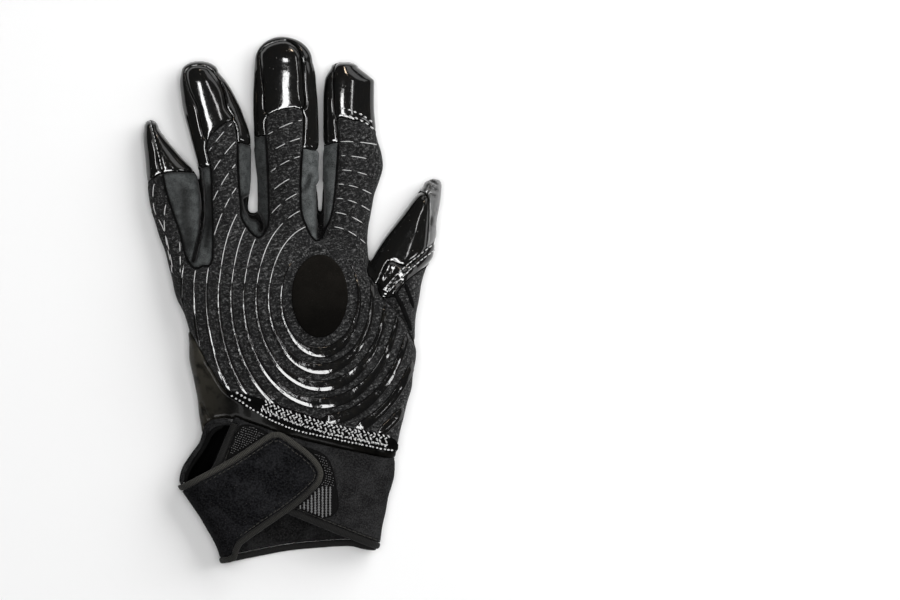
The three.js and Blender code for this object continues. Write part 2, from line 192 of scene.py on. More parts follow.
@dataclass
class Shell:
    """Points and faces of one mesh, in millimetres. A face with a negative last corner is a triangle."""

    points: Array
    faces: Array
    marks: dict[str, Array] = field(default_factory=dict)

    @staticmethod
    def joined(parts: Sequence["Shell"]) -> "Shell":
        """Puts several meshes into one."""
        starts = np.cumsum([0] + [len(p.points) for p in parts[:-1]])
        faces = [np.where(p.faces < 0, -1, p.faces + s) for p, s in zip(parts, starts)]
        marks = {k: np.concatenate([p.marks[k] for p in parts]) for k in parts[0].marks}
        return Shell(np.concatenate([p.points for p in parts]), np.concatenate(faces), marks)

    def largest(self, smallest_share: float) -> "Shell":
        """Drops the loose crumbs that a cut leaves.

        Args:
            smallest_share: a piece with less than this share of all the points goes.

        Returns:
            The mesh without them.
        """
        label = np.arange(len(self.points))
        a, b = self.faces[:, [0, 1, 2]].ravel(), self.faces[:, [1, 2, 3]].ravel()
        keep = (a >= 0) & (b >= 0)
        a, b = a[keep], b[keep]
        while True:
            low = np.minimum(label[a], label[b])
            if (label[a] == low).all() and (label[b] == low).all():
                break
            np.minimum.at(label, label[a], low)
            np.minimum.at(label, label[b], low)
            label = label[label]
            while (label[label] != label).any():
                label = label[label]
        counts = np.bincount(label, minlength=len(label))
        kept = counts[label] >= smallest_share * len(label)
        number = np.cumsum(kept) - 1
        faces = self.faces[kept[self.faces[:, 0]]]
        faces = np.where(faces < 0, -1, number[faces])
        return Shell(self.points[kept], faces, {k: v[kept] for k, v in self.marks.items()})


@dataclass(frozen=True)
class Block:
    """A box of evenly spaced sample points."""

    low: Point
    size: tuple[int, int, int]
    step: float

    @staticmethod
    def around(low: Sequence[float], high: Sequence[float], step: float) -> "Block":
        """A block that covers a box."""
        size = tuple(int(math.ceil((b - a) / step)) + 1 for a, b in zip(low, high))
        return Block(tuple(low), size, step)

    def axis(self, i: int) -> Array:
        """The sample places along one axis."""
        return self.low[i] + self.step * np.arange(self.size[i])

    def grid(self) -> tuple[Array, Array, Array]:
        """The three axes, shaped so that they combine into the whole block."""
        return self.axis(0)[:, None, None], self.axis(1)[None, :, None], self.axis(2)[None, None, :]


def reread(values: Array, own: Block, other: Block) -> Array:
    """Reads samples at the places of another block.

    Args:
        values: the samples, on two or three axes.
        own: the block that they lie on.
        other: the block to read them on.

    Returns:
        The samples there.
    """
    for axis in range(values.ndim):
        at = (other.axis(axis) - own.low[axis]) / own.step
        at = np.clip(at, 0, values.shape[axis] - 1.001)
        cell = at.astype(int)
        shape = [-1 if i == axis else 1 for i in range(values.ndim)]
        share = (at - cell).reshape(shape).astype(values.dtype)
        values = np.take(values, cell, axis) * (1 - share) + np.take(values, cell + 1, axis) * share
    return values


CORNERS = np.array([[i >> 2 & 1, i >> 1 & 1, i & 1] for i in range(8)])
EDGES = [(a, b) for a in range(8) for b in range(a + 1, 8) if bin(a ^ b).count("1") == 1]


def trilinear(values: Array, block: Block, points: Array) -> tuple[Array, Array]:
    """Reads a field between its sample points.

    Args:
        values: the field.
        block: where its samples lie.
        points: the places to read, one row each.

    Returns:
        The values there, and the gradients.
    """
    at = (points - block.low) / block.step
    cell = np.clip(np.floor(at).astype(int), 0, np.array(values.shape) - 2)
    share = np.clip(at - cell, 0, 1)
    total, slope = np.zeros(len(points)), np.zeros((len(points), 3))
    for corner in CORNERS:
        v = values[tuple((cell + corner).T)]
        w = np.where(corner, share, 1 - share)
        total += v * w.prod(1)
        sign = np.where(corner, 1.0, -1.0)
        for i in range(3):
            slope[:, i] += v * sign[i] * w[:, (i + 1) % 3] * w[:, (i + 2) % 3]
    return total, slope / block.step


def net(values: Array, block: Block, rounds: int = 2) -> Shell:
    """Wraps a closed mesh round the space where a field is below zero.

    Args:
        values: the field.
        block: where its samples lie.
        rounds: how often the points are evened out and put back on the surface.

    Returns:
        The mesh.
    """
    inside = values < 0
    count = sum(inside[tuple(slice(c, n - 1 + c) for c, n in zip(corner, inside.shape))].astype(np.uint8)
                for corner in CORNERS)
    cells = np.argwhere((count > 0) & (count < 8))
    number = np.full(count.shape, -1, np.int32)
    number[tuple(cells.T)] = np.arange(len(cells))
    v = np.stack([values[tuple((cells + c).T)] for c in CORNERS], 1)
    total, hits = np.zeros((len(cells), 3)), np.zeros(len(cells))
    for a, b in EDGES:
        cut = (v[:, a] < 0) != (v[:, b] < 0)
        share = np.where(cut, v[:, a] / np.where(cut, v[:, a] - v[:, b], 1), 0)
        total += cut[:, None] * (CORNERS[a] + share[:, None] * (CORNERS[b] - CORNERS[a]))
        hits += cut
    points = (cells + total / hits[:, None]) * block.step + block.low
    faces = []
    for axis in range(3):
        j, k = (axis + 1) % 3, (axis + 2) % 3
        side = np.moveaxis(inside, (axis, j, k), (0, 1, 2))
        index = np.moveaxis(number, (axis, j, k), (0, 1, 2))
        out = side[:-1, 1:-1, 1:-1] != side[1:, 1:-1, 1:-1]
        i, p, q = np.nonzero(out)
        quad = np.stack([index[i, p, q], index[i, p + 1, q], index[i, p + 1, q + 1], index[i, p, q + 1]], 1)
        flip = ~side[i, p + 1, q + 1]
        quad[flip] = quad[flip][:, ::-1]
        faces.append(quad)
    quads = np.concatenate(faces)
    quads = quads[(quads >= 0).all(1)]
    ends = np.concatenate([quads[:, [0, 1]], quads[:, [1, 2]], quads[:, [2, 3]], quads[:, [3, 0]]])
    degree = np.bincount(ends.ravel(), minlength=len(points))[:, None]
    for _ in range(rounds):
        near = np.stack([
            np.bincount(ends[:, 0], points[ends[:, 1], i], len(points))
            + np.bincount(ends[:, 1], points[ends[:, 0], i], len(points)) for i in range(3)
        ], 1) / np.maximum(degree, 1)
        points = 0.4 * points + 0.6 * near
        far, slope = trilinear(values, block, points)
        move = far[:, None] * slope / np.maximum((slope**2).sum(1), 0.2)[:, None]
        size = np.linalg.norm(move, axis=1)[:, None]
        points = points - move * np.minimum(1, 0.5 * block.step / np.maximum(size, 1e-9))
    return Shell(points, quads)


# The glove's form


@dataclass(frozen=True)
class Station:
    """One upright cross section of a tube: its left and right edges and its top."""

    y: float
    left: float
    right: float
    high: float


def stations(*rows: tuple[float, float, float, float]) -> tuple[Station, ...]:
    """Names the columns of a table of cross sections."""
    return tuple(Station(*row) for row in rows)


@dataclass(frozen=True)
class Tube:
    """A tube that runs towards the fingertips, flat below and crowned on top."""

    rows: tuple[Station, ...]
    crown: float = 2.1
    tip: Union[Pair, None] = None
    flank_share: float = 0.42
    flank_most: float = 6.0
    tip_level: float = 0.4
    roll: float = 0.0
    spacing: float = 0.5

    def smooth(self) -> dict[str, Array]:
        """Draws smooth curves through the stations.

        Returns:
            The curves' samples by name, with y among them.
        """
        y = np.array([r.y for r in self.rows])
        at = np.arange(y[0], y[-1] + 1e-6, self.spacing)
        curves = {"y": at}
        for name in ("left", "right", "high"):
            v = np.array([getattr(r, name) for r in self.rows])
            rise, run = np.diff(v), np.diff(y)
            slope = rise / run
            both = np.maximum(slope[1:] * slope[:-1], 0)
            inner = 2 * both / np.where(both > 0, slope[1:] + slope[:-1], 1)
            m = np.r_[slope[0], inner, slope[-1]]
            i = np.clip(np.searchsorted(y, at, "right") - 1, 0, len(run) - 1)
            t, h = (at - y[i]) / run[i], run[i]
            curves[name] = ((2 * t**3 - 3 * t**2 + 1) * v[i] + (t**3 - 2 * t**2 + t) * h * m[i]
                            + (3 * t**2 - 2 * t**3) * v[i + 1] + (t**3 - t**2) * h * m[i + 1])
        return curves

    def distance(self, x: Array, y: Array, z: Array) -> Array:
        """Roughly how far points lie outside the tube.

        Args:
            x: the points' x, shaped to combine with y and z.
            y: the points' y.
            z: the points' z.

        Returns:
            The distances, below zero inside.
        """
        curve = self.smooth()
        last = self.rows[-1]
        at = np.clip(y, curve["y"][0], last.y)
        left, right, high = (np.interp(at, curve["y"], curve[n]) for n in ("left", "right", "high"))
        slopes = {n: np.gradient(curve[n], self.spacing) for n in ("left", "right")}
        lean = {n: np.interp(at, curve["y"], s) for n, s in slopes.items()}
        middle, half = (left + right) / 2, (right - left) / 2
        flank = np.minimum(self.flank_share * high, self.flank_most)
        w = np.maximum(z - flank, 0) / (high - flank)
        side = x - middle - self.roll * np.minimum(w, 1)
        u = np.abs(side) / half
        q = np.maximum((u**self.crown + w**self.crown) ** (1 / self.crown), 1e-3)
        gx, gz = u ** (self.crown - 1) / half, w ** (self.crown - 1) / (high - flank)
        steep = np.maximum(np.hypot(gx, gz) * q ** (1 - self.crown), 0.01)
        dx, dz = np.abs(side) - (half - flank), np.maximum(flank - z, 0)
        low = np.hypot(np.maximum(dx, 0), dz) - flank
        level = np.where(z >= flank, gx / np.maximum(np.hypot(gx, gz), 1e-6),
                         np.maximum(dx, 0) / np.maximum(np.hypot(np.maximum(dx, 0), dz), 1e-6))
        edge = np.where(side < 0, lean["left"], lean["right"])
        far = np.where(z >= flank, (q - 1) / steep, low) / np.sqrt(1 + (level * edge) ** 2)
        far = np.maximum(far, curve["y"][0] - y)
        if self.tip is None:
            return np.maximum(far, y - last.y)
        return np.where(y > last.y, self.dome(x, y, z), far)

    def dome(self, x: Array, y: Array, z: Array) -> Array:
        """Distance to the rounded end, where the last section shrinks towards the tip.

        Args:
            x: the points' x.
            y: the points' y.
            z: the points' z.

        Returns:
            The distances, below zero inside.
        """
        last = self.rows[-1]
        middle, half, high = (last.left + last.right) / 2, (last.right - last.left) / 2, last.high
        flank = min(self.flank_share * high, self.flank_most)
        angle = np.linspace(0, math.pi, 40)
        turn = np.linspace(0, math.pi / 2, 12)[1:]
        px = np.sign(np.cos(angle)) * half * np.abs(np.cos(angle)) ** (2 / self.crown)
        pz = flank + (high - flank) * np.sin(angle) ** (2 / self.crown)
        cx, cz = half - flank * (1 - np.cos(turn)), flank - flank * np.sin(turn)
        flat = np.linspace(flank - half, half - flank, 14)[1:-1]
        px, pz = np.r_[px, -cx, flat, cx[::-1]], np.r_[pz, cz, 0 * flat, cz[::-1]] - high / 2
        around = np.arctan2(pz, px)
        order = np.argsort(around)
        reach = self.tip[1] - last.y
        t = (y - last.y) / reach
        across = np.sqrt(np.clip(1 - t * t, 0, 1))
        ox = x - (middle + (self.tip[0] - middle) * (1 - across))
        ox = ox - self.roll * np.clip((z - flank) / (high - flank), 0, 1)
        oz = z - high * (0.5 + (self.tip_level - 0.5) * (1 - across))
        way = np.arctan2(oz, ox)
        radius = np.interp(way, around[order], np.hypot(px, pz)[order], period=2 * math.pi)
        q = np.hypot(ox, oz) / radius
        s = np.maximum(np.hypot(q, t), 1e-3)
        return np.maximum((s - 1) * s / np.maximum(np.sqrt((q / radius) ** 2 + (t / reach) ** 2), 1e-3), -z)


HAND = Tube(stations(
    (-126, -27, 35, 16), (-113, -29.6, 38.3, 16), (-99, -36.6, 41.3, 16.5), (-88, -43.8, 43.4, 17),
    (-84, -46.6, 44.5, 17.2), (-79, -50, 45.7, 17.5), (-72, -46.4, 46.3, 17.8), (-63, -40.8, 47.5, 18),
    (-37, -44, 53.8, 20.2), (-24, -46.4, 55.6, 21.3), (-12, -46.9, 52, 21.3), (0, -51.6, 46, 20.8),
    (22, -57, 33.5, 17.4), (29, -59.2, 33, 13.5), (39, -62, 34, 4.6),
), crown=2.6)
LITTLE = Tube(stations(
    (8, -52, -30, 12), (29, -59.4, -37, 13), (43, -64.1, -40.4, 13), (55, -65.4, -42.7, 12.5),
    (65, -66.3, -50.8, 11.5), (73, -67, -57.4, 10.5), (77, -66.7, -60.4, 9.6),
), tip=(-63.8, 80.6))
RING = Tube(stations(
    (14, -40, -18, 14), (43, -41, -19.2, 14.3), (58, -42.6, -18.5, 13.5), (70, -45.2, -18.5, 13),
    (84, -48.7, -22.4, 12.5), (91, -50, -25.6, 12.2), (97.5, -50.6, -29.4, 11.8),
    (102.4, -49.9, -33.4, 11),
), tip=(-42, 107.1))
MIDDLE = Tube(stations(
    (14, -17, 12.6, 14.5), (43, -15.7, 12.2, 14.8), (52, -15.8, 11.2, 14.4), (60, -16.6, 10.8, 14),
    (67, -17.2, 11.2, 13.8), (74, -17.6, 11.3, 13.5),
    (90, -17.7, 10.8, 13), (101, -17.4, 9.5, 12.5), (107, -16.8, 8, 12),
), tip=(-5, 118.1), roll=5.0)
INDEX = Tube(stations(
    (10, 11, 33.4, 14), (24, 12, 33.2, 14.5), (38, 12.4, 35.1, 14.5), (47, 12.8, 36.9, 14),
    (52, 13.4, 38.6, 13.8), (60, 13.8, 40.7, 13.7), (66, 13.8, 40, 13.5), (74, 13.6, 37.8, 13),
    (90, 13.7, 36.7, 12.2),
    (98.2, 14.5, 36.8, 11.6), (99.4, 14.8, 35.6, 11.4), (104.4, 17.6, 29.3, 10),
), tip=(23.6, 106.6))
THUMB = Tube(stations(
    (-22, 40, 54.4, 13), (-8, 37, 55.4, 16), (2, 35.5, 57.2, 17), (12, 33.4, 59.6, 16.5),
    (20, 36.6, 63.3, 16), (40, 50.3, 65.7, 13.5), (48, 56.4, 66.9, 12), (50.8, 58.6, 67, 11.4),
), tip=(64, 54.2))


@dataclass
class Form:
    """The glove's outer surface as a field on a block of samples."""

    block: Block = Block((-73.0, -123.0, -4.0), (293, 493, 64), 0.5)
    finger_crease: float = 0.5
    hand_crease: float = 2.0
    margin: float = 7.0
    values: Array = field(init=False)

    def __post_init__(self) -> None:
        """Joins the tubes and smooths the whole."""
        x, y, z = self.block.grid()
        fingers = np.full(self.block.size, FAR, np.float32)
        for tube in (LITTLE, RING, MIDDLE, INDEX, THUMB):
            self.merge(fingers, tube, self.finger_crease)
        hand = np.clip(HAND.distance(x, y, z), -FAR, FAR).astype(np.float32)
        self.values = blur(soft_min(hand, fingers, self.hand_crease), 1).astype(np.float32)

    def merge(self, total: Array, tube: Tube, crease: float) -> None:
        """Joins one finger's tube to the field, inside the finger's own box.

        Args:
            total: the field, which is changed.
            tube: the finger.
            crease: how wide the crease between fingers is filled.
        """
        low = (min(r.left for r in tube.rows) - self.margin, tube.rows[0].y - self.margin)
        high = (max(r.right for r in tube.rows) + self.margin, tube.tip[1] + self.margin)
        cut = []
        for i in range(2):
            places = self.block.axis(i)
            cut.append(slice(int(np.searchsorted(places, low[i])), int(np.searchsorted(places, high[i]))))
        x, y, z = self.block.grid()
        far = tube.distance(x[cut[0]], y[:, cut[1]], z)
        part = total[cut[0], cut[1]]
        part[:] = soft_min(part, np.clip(far, -FAR, FAR), crease)

    def sample(self, block: Block) -> Array:
        """Reads the field on another block of samples."""
        return reread(self.values, self.block, block)


OUTLINES: dict[str, Outline] = {
    "tip_panel_little": [
        (-63.1, 79.4), (-63.3, 86), (-56, 86), (-46, 70), (-40, 59), (-42.8, 57.1), (-57.7, 56.7),
        (-60.2, 67.3),
    ],
    "tip_panel_ring": [
        (-37.9, 71.1), (-42, 85.3), (-45.7, 93.6), (-47.6, 101), (-46.2, 103.7), (-43.4, 104.8),
        (-38.4, 104.2), (-34.7, 101), (-31, 94.1), (-29.4, 85.8), (-26.9, 80.3),
    ],
    "tip_panel_middle": [
        (-10.7, 82.7), (-12.4, 91.3), (-14.4, 108.5), (-13.4, 111.8), (-10.7, 114.3), (-4.9, 116),
        (-0.3, 115), (3.7, 109.7), (4.9, 94.3), (4.3, 85),
    ],
    "tip_panel_index": [
        (20.4, 81), (19, 90.7), (18.6, 98.8), (19.9, 107.8), (25.8, 114), (43, 104), (43, 73), (37.9, 74.9),
        (32.4, 79.4), (27.8, 80.1),
    ],
    "tip_zone_little": [
        (-72, 52.4), (-64.2, 52.9), (-57.7, 56.7), (-42.9, 57.2), (-41, 59), (-56, 88), (-72, 88),
    ],
    "tip_zone_ring": [
        (-43.1, 59.2), (-36.5, 60.1), (-37.9, 71.1), (-26.9, 80.3), (-24.4, 70.4), (-17.7, 69.5),
        (-19.7, 85.3), (-25.5, 101), (-31.8, 115), (-44, 115), (-56, 101), (-53, 89.8), (-48, 74),
    ],
    "tip_zone_middle": [
        (-17.6, 73.1), (-11.7, 73.6), (-10.7, 82.7), (4.3, 85), (4.8, 67.9), (12.7, 67.7), (11.8, 94.3),
        (11.5, 112.3), (3.3, 124), (-10.2, 124), (-20, 112.3), (-19.7, 94.3),
    ],
    "tip_zone_index": [
        (13.2, 69.5), (20.8, 70.4), (20.4, 81), (27.8, 80.1), (32.4, 79.4), (37.9, 74.9), (43, 73),
        (43, 101), (32.5, 114), (19, 114), (12.6, 101), (12.6, 89.8),
    ],
    "fourchette_little_ring": [
        (-57.7, 56.2), (-42.9, 56.9), (-43.1, 58.9), (-36.5, 59.8), (-35.7, 44.8), (-35.4, 18.2),
        (-39.5, 15.1), (-43.8, 14.2), (-47.6, 20), (-50.3, 30.4), (-55.2, 44.8),
    ],
    "fourchette_ring_middle": [
        (-24.4, 70), (-17.6, 69.1), (-17.6, 72.8), (-11.7, 73.3), (-10.3, 43), (-10.7, 33.1), (-13.4, 28.3),
        (-16.5, 28.3), (-21.9, 34.9), (-23.3, 43),
    ],
    "fourchette_middle_index": [
        (4.8, 67.6), (12.8, 67.4), (13.2, 69.2), (20.8, 70.1), (18.8, 43), (16.3, 34), (12.3, 26.8),
        (9.6, 27.2), (6.4, 33.1), (3.9, 43),
    ],
    "thumb_panel": [
        (35.7, 9.3), (34, 15.9), (44, 42), (55.9, 48.5), (61.2, 45), (60.2, 22.9), (50.5, 15.1),
        (43.5, 17.3), (38.4, 7.4),
    ],
    "thumb_gusset": [
        (55.9, 48.5), (55.9, 58), (71, 58), (71, 27.7), (64.9, 26.8), (60.2, 22.9), (61.2, 45),
    ],
    "thumb_seam_patch": [
        (60.2, 22.9), (64.9, 26.8), (71, 27.7), (71, 22.9), (62.7, 16.9), (50.7, 7.4), (46.3, 1.6),
        (40.6, 0.7), (38.4, 7.4), (43.5, 17.3), (50.5, 15.1),
    ],
    "thumb_base_panel": [
        (40.6, 0.7), (46.3, 1.6), (50.7, 7.4), (62.7, 16.9), (71, 22.9), (71, -20.5), (55.9, -20.5),
        (50.5, -10.1), (45.1, -3.4),
    ],
    "wrist_yoke": [
        (-56, -7.7), (-47.6, -11.9), (-39.9, -24.5), (-35, -32.6), (-27.3, -42.5), (-13.4, -48.4),
        (3.3, -56), (23.5, -61.4), (47.4, -65.9), (56, -67.2), (56, -75), (42, -70.9), (22.2, -66.8),
        (0.1, -61.4), (-21.5, -54.2), (-26.4, -53.7), (-31.8, -53.3), (-39, -56), (-40.4, -60.8),
        (-60, -65),
    ],
    "cuff_back": [
        (-26.4, -53.7), (-21.5, -54.2), (0.1, -61.4), (22.2, -66.8), (42, -70.9), (56, -75), (56, -119),
        (38.4, -112.3), (-1.5, -96.1), (-35, -80.3), (-34.9, -73.9),
    ],
    "cuff_palm": [
        (-60, -69), (-40.4, -64.8), (-31.8, -56.5), (-21.5, -57.4), (0.1, -64.6), (22.2, -70), (42, -74.1),
        (56, -78.2), (56, -113.5), (40, -113), (31, -112.2), (25, -110.9), (6.4, -112.1), (-5.7, -113.6),
        (-24.2, -117.3), (-29.4, -118.2), (-60, -118.2),
    ],
    "cuff_lip": [
        (-60, -65), (-40.4, -60.8), (-39, -56), (-31.8, -53.3), (-28.2, -53.6), (-30, -56.2), (-34, -58.5),
        (-37, -60.7), (-40, -65.3), (-43.5, -70.4), (-48.7, -79.9), (-52, -86), (-60, -90),
    ],
    "wrist_seam_strip": [
        (-27.3, -41.2), (-14.7, -43.9), (3.3, -50.2), (23.5, -56.5), (44.7, -61.4), (46.9, -68.2),
        (37.5, -66.8), (15, -61.9), (-1.2, -57.8), (-13.4, -52), (-27.3, -43.9),
    ],
    "hook_patch": [
        (-22.8, -56), (-9.3, -59.8), (6, -65.5), (15.2, -69.5), (18.9, -77), (21.2, -90.2), (20.1, -95.2),
        (15.2, -97.9), (7, -95.4), (-29.6, -78.2), (-30.2, -74),
    ],
    "strap": [
        (-60, -88.2), (-50.3, -83.1), (-27.3, -70.9), (-11.3, -60.3), (-7.8, -59.2), (-3.3, -59.8),
        (7.8, -67.8), (12.8, -73.4), (14.3, -77.4), (13.8, -80.4), (11.8, -83.9), (1.8, -92.9),
        (-22.3, -110), (-27.4, -117.8), (-62, -117.8),
    ],
    "cuff_fold": [
        (30, -78.5), (60, -80), (60, -109), (30, -106),
    ],
    "past_palm": [
        (-150, -150), (150, -150), (150, -60), (50, -78), (-60, -95),
    ],
}
PALM_HEM: Outline = [(60, -112.7), *OUTLINES["cuff_palm"][9:16]]
BACK_HEM: Outline = [(50, -117), *OUTLINES["cuff_back"][7:11], (-26.9, -54.9)]
FINGERS = ("little", "ring", "middle", "index")
FOURCHETTES = ("fourchette_little_ring", "fourchette_ring_middle", "fourchette_middle_index")
STRAIGHT = ("cuff_fold", "past_palm")


@dataclass
class Plan:
    """Where every panel lies, seen from above, on the form's own samples."""

    block: Block
    reach: float = 8.0
    cuts: dict[str, Array] = field(init=False)
    seam: Array = field(init=False)
    zones: dict[str, Array] = field(init=False)

    def __post_init__(self) -> None:
        """Shares the plan out between the panels."""
        self.zones = {name: self.distance(self.outline(name)) for name in OUTLINES}
        z, parts = self.zones, {}
        for finger in FINGERS:
            panel, whole = z[f"tip_panel_{finger}"], z[f"tip_zone_{finger}"]
            parts[f"tip_panel_{finger}"] = np.maximum(whole, panel)
            parts[f"tip_gusset_{finger}"] = np.maximum(whole, -panel)
        for name in (*FOURCHETTES, "thumb_panel", "thumb_gusset", "thumb_seam_patch", "thumb_base_panel",
                     "wrist_yoke", "cuff_back", "cuff_lip"):
            parts[name] = z[name]
        sewn = np.minimum.reduce(list(parts.values()))
        open_end = np.minimum(z["cuff_palm"], z["past_palm"])
        parts["back_panel"] = -np.minimum(sewn, open_end)
        parts["open"] = np.maximum(open_end, -sewn)
        stack = np.stack(list(parts.values()))
        first, second = np.partition(stack, 1, axis=0)[:2]
        self.seam = (second - first) / 2
        self.cuts = {name: (d - np.where(d <= first, second, first)) / 2 for name, d in parts.items()}

    @staticmethod
    def outline(name: str) -> Array:
        """The smooth outline of a zone."""
        return np.asarray(OUTLINES[name], float) if name in STRAIGHT else refine(OUTLINES[name])

    def distance(self, outline: Array) -> Array:
        """Signed distance to an outline on the plan's samples, true near the outline and inside it.

        Args:
            outline: the corners, one row each.

        Returns:
            The distances.
        """
        x, y = self.block.axis(0), self.block.axis(1)
        low, high = outline.min(0) - self.reach, outline.max(0) + self.reach
        i, j = (np.searchsorted(x, (low[0], high[0])), np.searchsorted(y, (low[1], high[1])))
        total = np.full((len(x), len(y)), self.reach)
        px, py = np.meshgrid(x[i[0]:i[1]], y[j[0]:j[1]], indexing="ij")
        total[i[0]:i[1], j[0]:j[1]] = polygon_distance(outline, px, py)
        return total

    def strip(self, line: Outline, start: float, end: float) -> Array:
        """Signed distance to a strip on the right of a bent line.

        Args:
            line: the points of the line.
            start: how far from the line the strip begins.
            end: how far from the line it ends.

        Returns:
            The distances on the plan's samples.
        """
        points = curve(line, 2.0)
        return self.distance(np.concatenate([beside(points, start), beside(points, end)[::-1]]))

    def sample(self, values: Array, block: Block) -> Array:
        """Reads a map on the plan of another block, shaped to combine with its heights."""
        return reread(values, self.block, block)[:, :, None]


@dataclass
class Surface:
    """The pressed form's outer surface, on which pieces are laid."""

    form: Form
    top: Array = field(init=False)
    lining: Array = field(init=False)

    def __post_init__(self) -> None:
        """Finds the height of the surface, and of the palm's lining, over each place of the plan."""
        f, block = self.form.values, self.form.block
        inside = f < 0
        last = f.shape[2] - 1 - np.argmax(inside[:, :, ::-1], axis=2)
        last = np.clip(last, 0, f.shape[2] - 2)
        a = np.take_along_axis(f, last[:, :, None], 2)[:, :, 0]
        b = np.take_along_axis(f, last[:, :, None] + 1, 2)[:, :, 0]
        high = block.low[2] + block.step * (last + a / np.where(a == b, 1, a - b))
        self.top = np.where(inside.any(2), high, 0.0)
        self.lining = block.low[2] + block.step * np.argmax(inside, axis=2) + WALL

    def height(self, plan_points: Array, inside: bool = False) -> Array:
        """The surface's height over places on the plan, or that of the palm's lining."""
        block = self.form.block
        at = (plan_points - block.low[:2]) / block.step
        cell = np.clip(at.astype(int), 0, np.array(self.top.shape) - 2)
        s, t = (np.clip(at - cell, 0, 1)).T
        i, j = cell.T
        h = self.lining if inside else self.top
        return ((h[i, j] * (1 - s) + h[i + 1, j] * s) * (1 - t)
                + (h[i, j + 1] * (1 - s) + h[i + 1, j + 1] * s) * t)

    def place(self, plan_points: Array, lift: Union[float, Array] = 0.0) -> tuple[Array, Array]:
        """Lays points on the surface.

        Args:
            plan_points: their places seen from above, one row each.
            lift: how far off the surface they go.

        Returns:
            The points and the surface's normals there.
        """
        points = np.column_stack([plan_points, self.height(plan_points)])
        _, slope = trilinear(self.form.values, self.form.block, points)
        normal = slope / np.maximum(np.linalg.norm(slope, axis=1), 1e-6)[:, None]
        return points + normal * np.reshape(lift, (-1, 1)), normal


def swept_faces(count: int, length: int, sides: int, flipped: bool = False) -> Array:
    """Joins the sections of swept lines and closes the lines' ends.

    Args:
        count: how many lines there are.
        length: how many sections each line has.
        sides: how many points a section has.
        flipped: whether the sections run the other way round.

    Returns:
        The faces, one row each.
    """
    i, j = np.arange(length - 1)[None, :, None], np.arange(sides)[None, None, :]
    k = (j + 1) % sides
    starts = np.arange(count) * length * sides
    a = starts[:, None, None] + i * sides
    quads = np.stack([a + j, a + sides + j, a + sides + k, a + k], -1).reshape(-1, 4)
    j, k = np.arange(1, sides - 1), np.arange(2, sides)
    if flipped:
        quads, j, k = quads[:, [0, 3, 2, 1]], k, j
    ends = []
    for first in starts:
        last = first + (length - 1) * sides
        ends.append(np.stack([first + 0 * j, first + j, first + k, 0 * j - 1], 1))
        ends.append(np.stack([last + 0 * j, last + k, last + j, 0 * j - 1], 1))
    return np.concatenate([quads, *ends])


def tubes(centres: Array, normals: Array, radii: Array, sides: int = 6, flat: float = 1.0) -> Shell:
    """Sweeps round sections along one or more lines.

    Args:
        centres: the lines, shaped (lines, points, 3).
        normals: which way is up at each point, shaped like centres.
        radii: the radius at each point, shaped (lines, points).
        sides: how many sides a section has.
        flat: the section's height as a share of its width.

    Returns:
        One mesh of closed tubes, marked with the distance along each.
    """
    count, length, _ = centres.shape
    way = np.gradient(centres, axis=1)
    way /= np.maximum(np.linalg.norm(way, axis=2), 1e-9)[..., None]
    across = np.cross(way, normals)
    across /= np.maximum(np.linalg.norm(across, axis=2), 1e-9)[..., None]
    up = np.cross(across, way)
    angle = np.arange(sides) * 2 * math.pi / sides
    ring = (across[:, :, None] * np.cos(angle)[:, None] + up[:, :, None] * (flat * np.sin(angle))[:, None])
    points = centres[:, :, None] + ring * radii[:, :, None, None]
    step = np.linalg.norm(np.diff(centres, axis=1), axis=2)
    along = np.concatenate([np.zeros((count, 1)), np.cumsum(step, axis=1)], 1)
    marks = {"along": np.repeat(along.ravel(), sides), "across": np.tile(np.cos(angle), count * length)}
    return Shell(points.reshape(-1, 3), swept_faces(count, length, sides), marks)


# Finishes


class Link:
    """A node's output in a material, which takes part in arithmetic."""

    def __init__(self, graph: "Graph", socket: bpy.types.NodeSocket) -> None:
        """Keeps the socket and the material that it is in."""
        self.graph, self.socket = graph, socket

    def __add__(self, other: Number) -> "Link":
        """The sum."""
        return self.graph.math("ADD", self, other)

    def __sub__(self, other: Number) -> "Link":
        """The difference."""
        return self.graph.math("SUBTRACT", self, other)

    def __rsub__(self, other: Number) -> "Link":
        """The difference, the other way round."""
        return self.graph.math("SUBTRACT", other, self)

    def __mul__(self, other: Number) -> "Link":
        """The product."""
        return self.graph.math("MULTIPLY", self, other)

    __radd__ = __add__
    __rmul__ = __mul__

    def above(self, start: float, full: float) -> "Link":
        """How far the value has risen from one level to another, from 0 to 1, smoothly."""
        return self.graph.add("ShaderNodeMapRange", {"interpolation_type": "SMOOTHSTEP", "clamp": True},
                              {"Value": self, "From Min": start, "From Max": full})

    def wave(self, period: float) -> "Link":
        """A sine of the value, from 0 to 1."""
        return self.graph.math("SINE", self * (2 * math.pi / period)) * 0.5 + 0.5


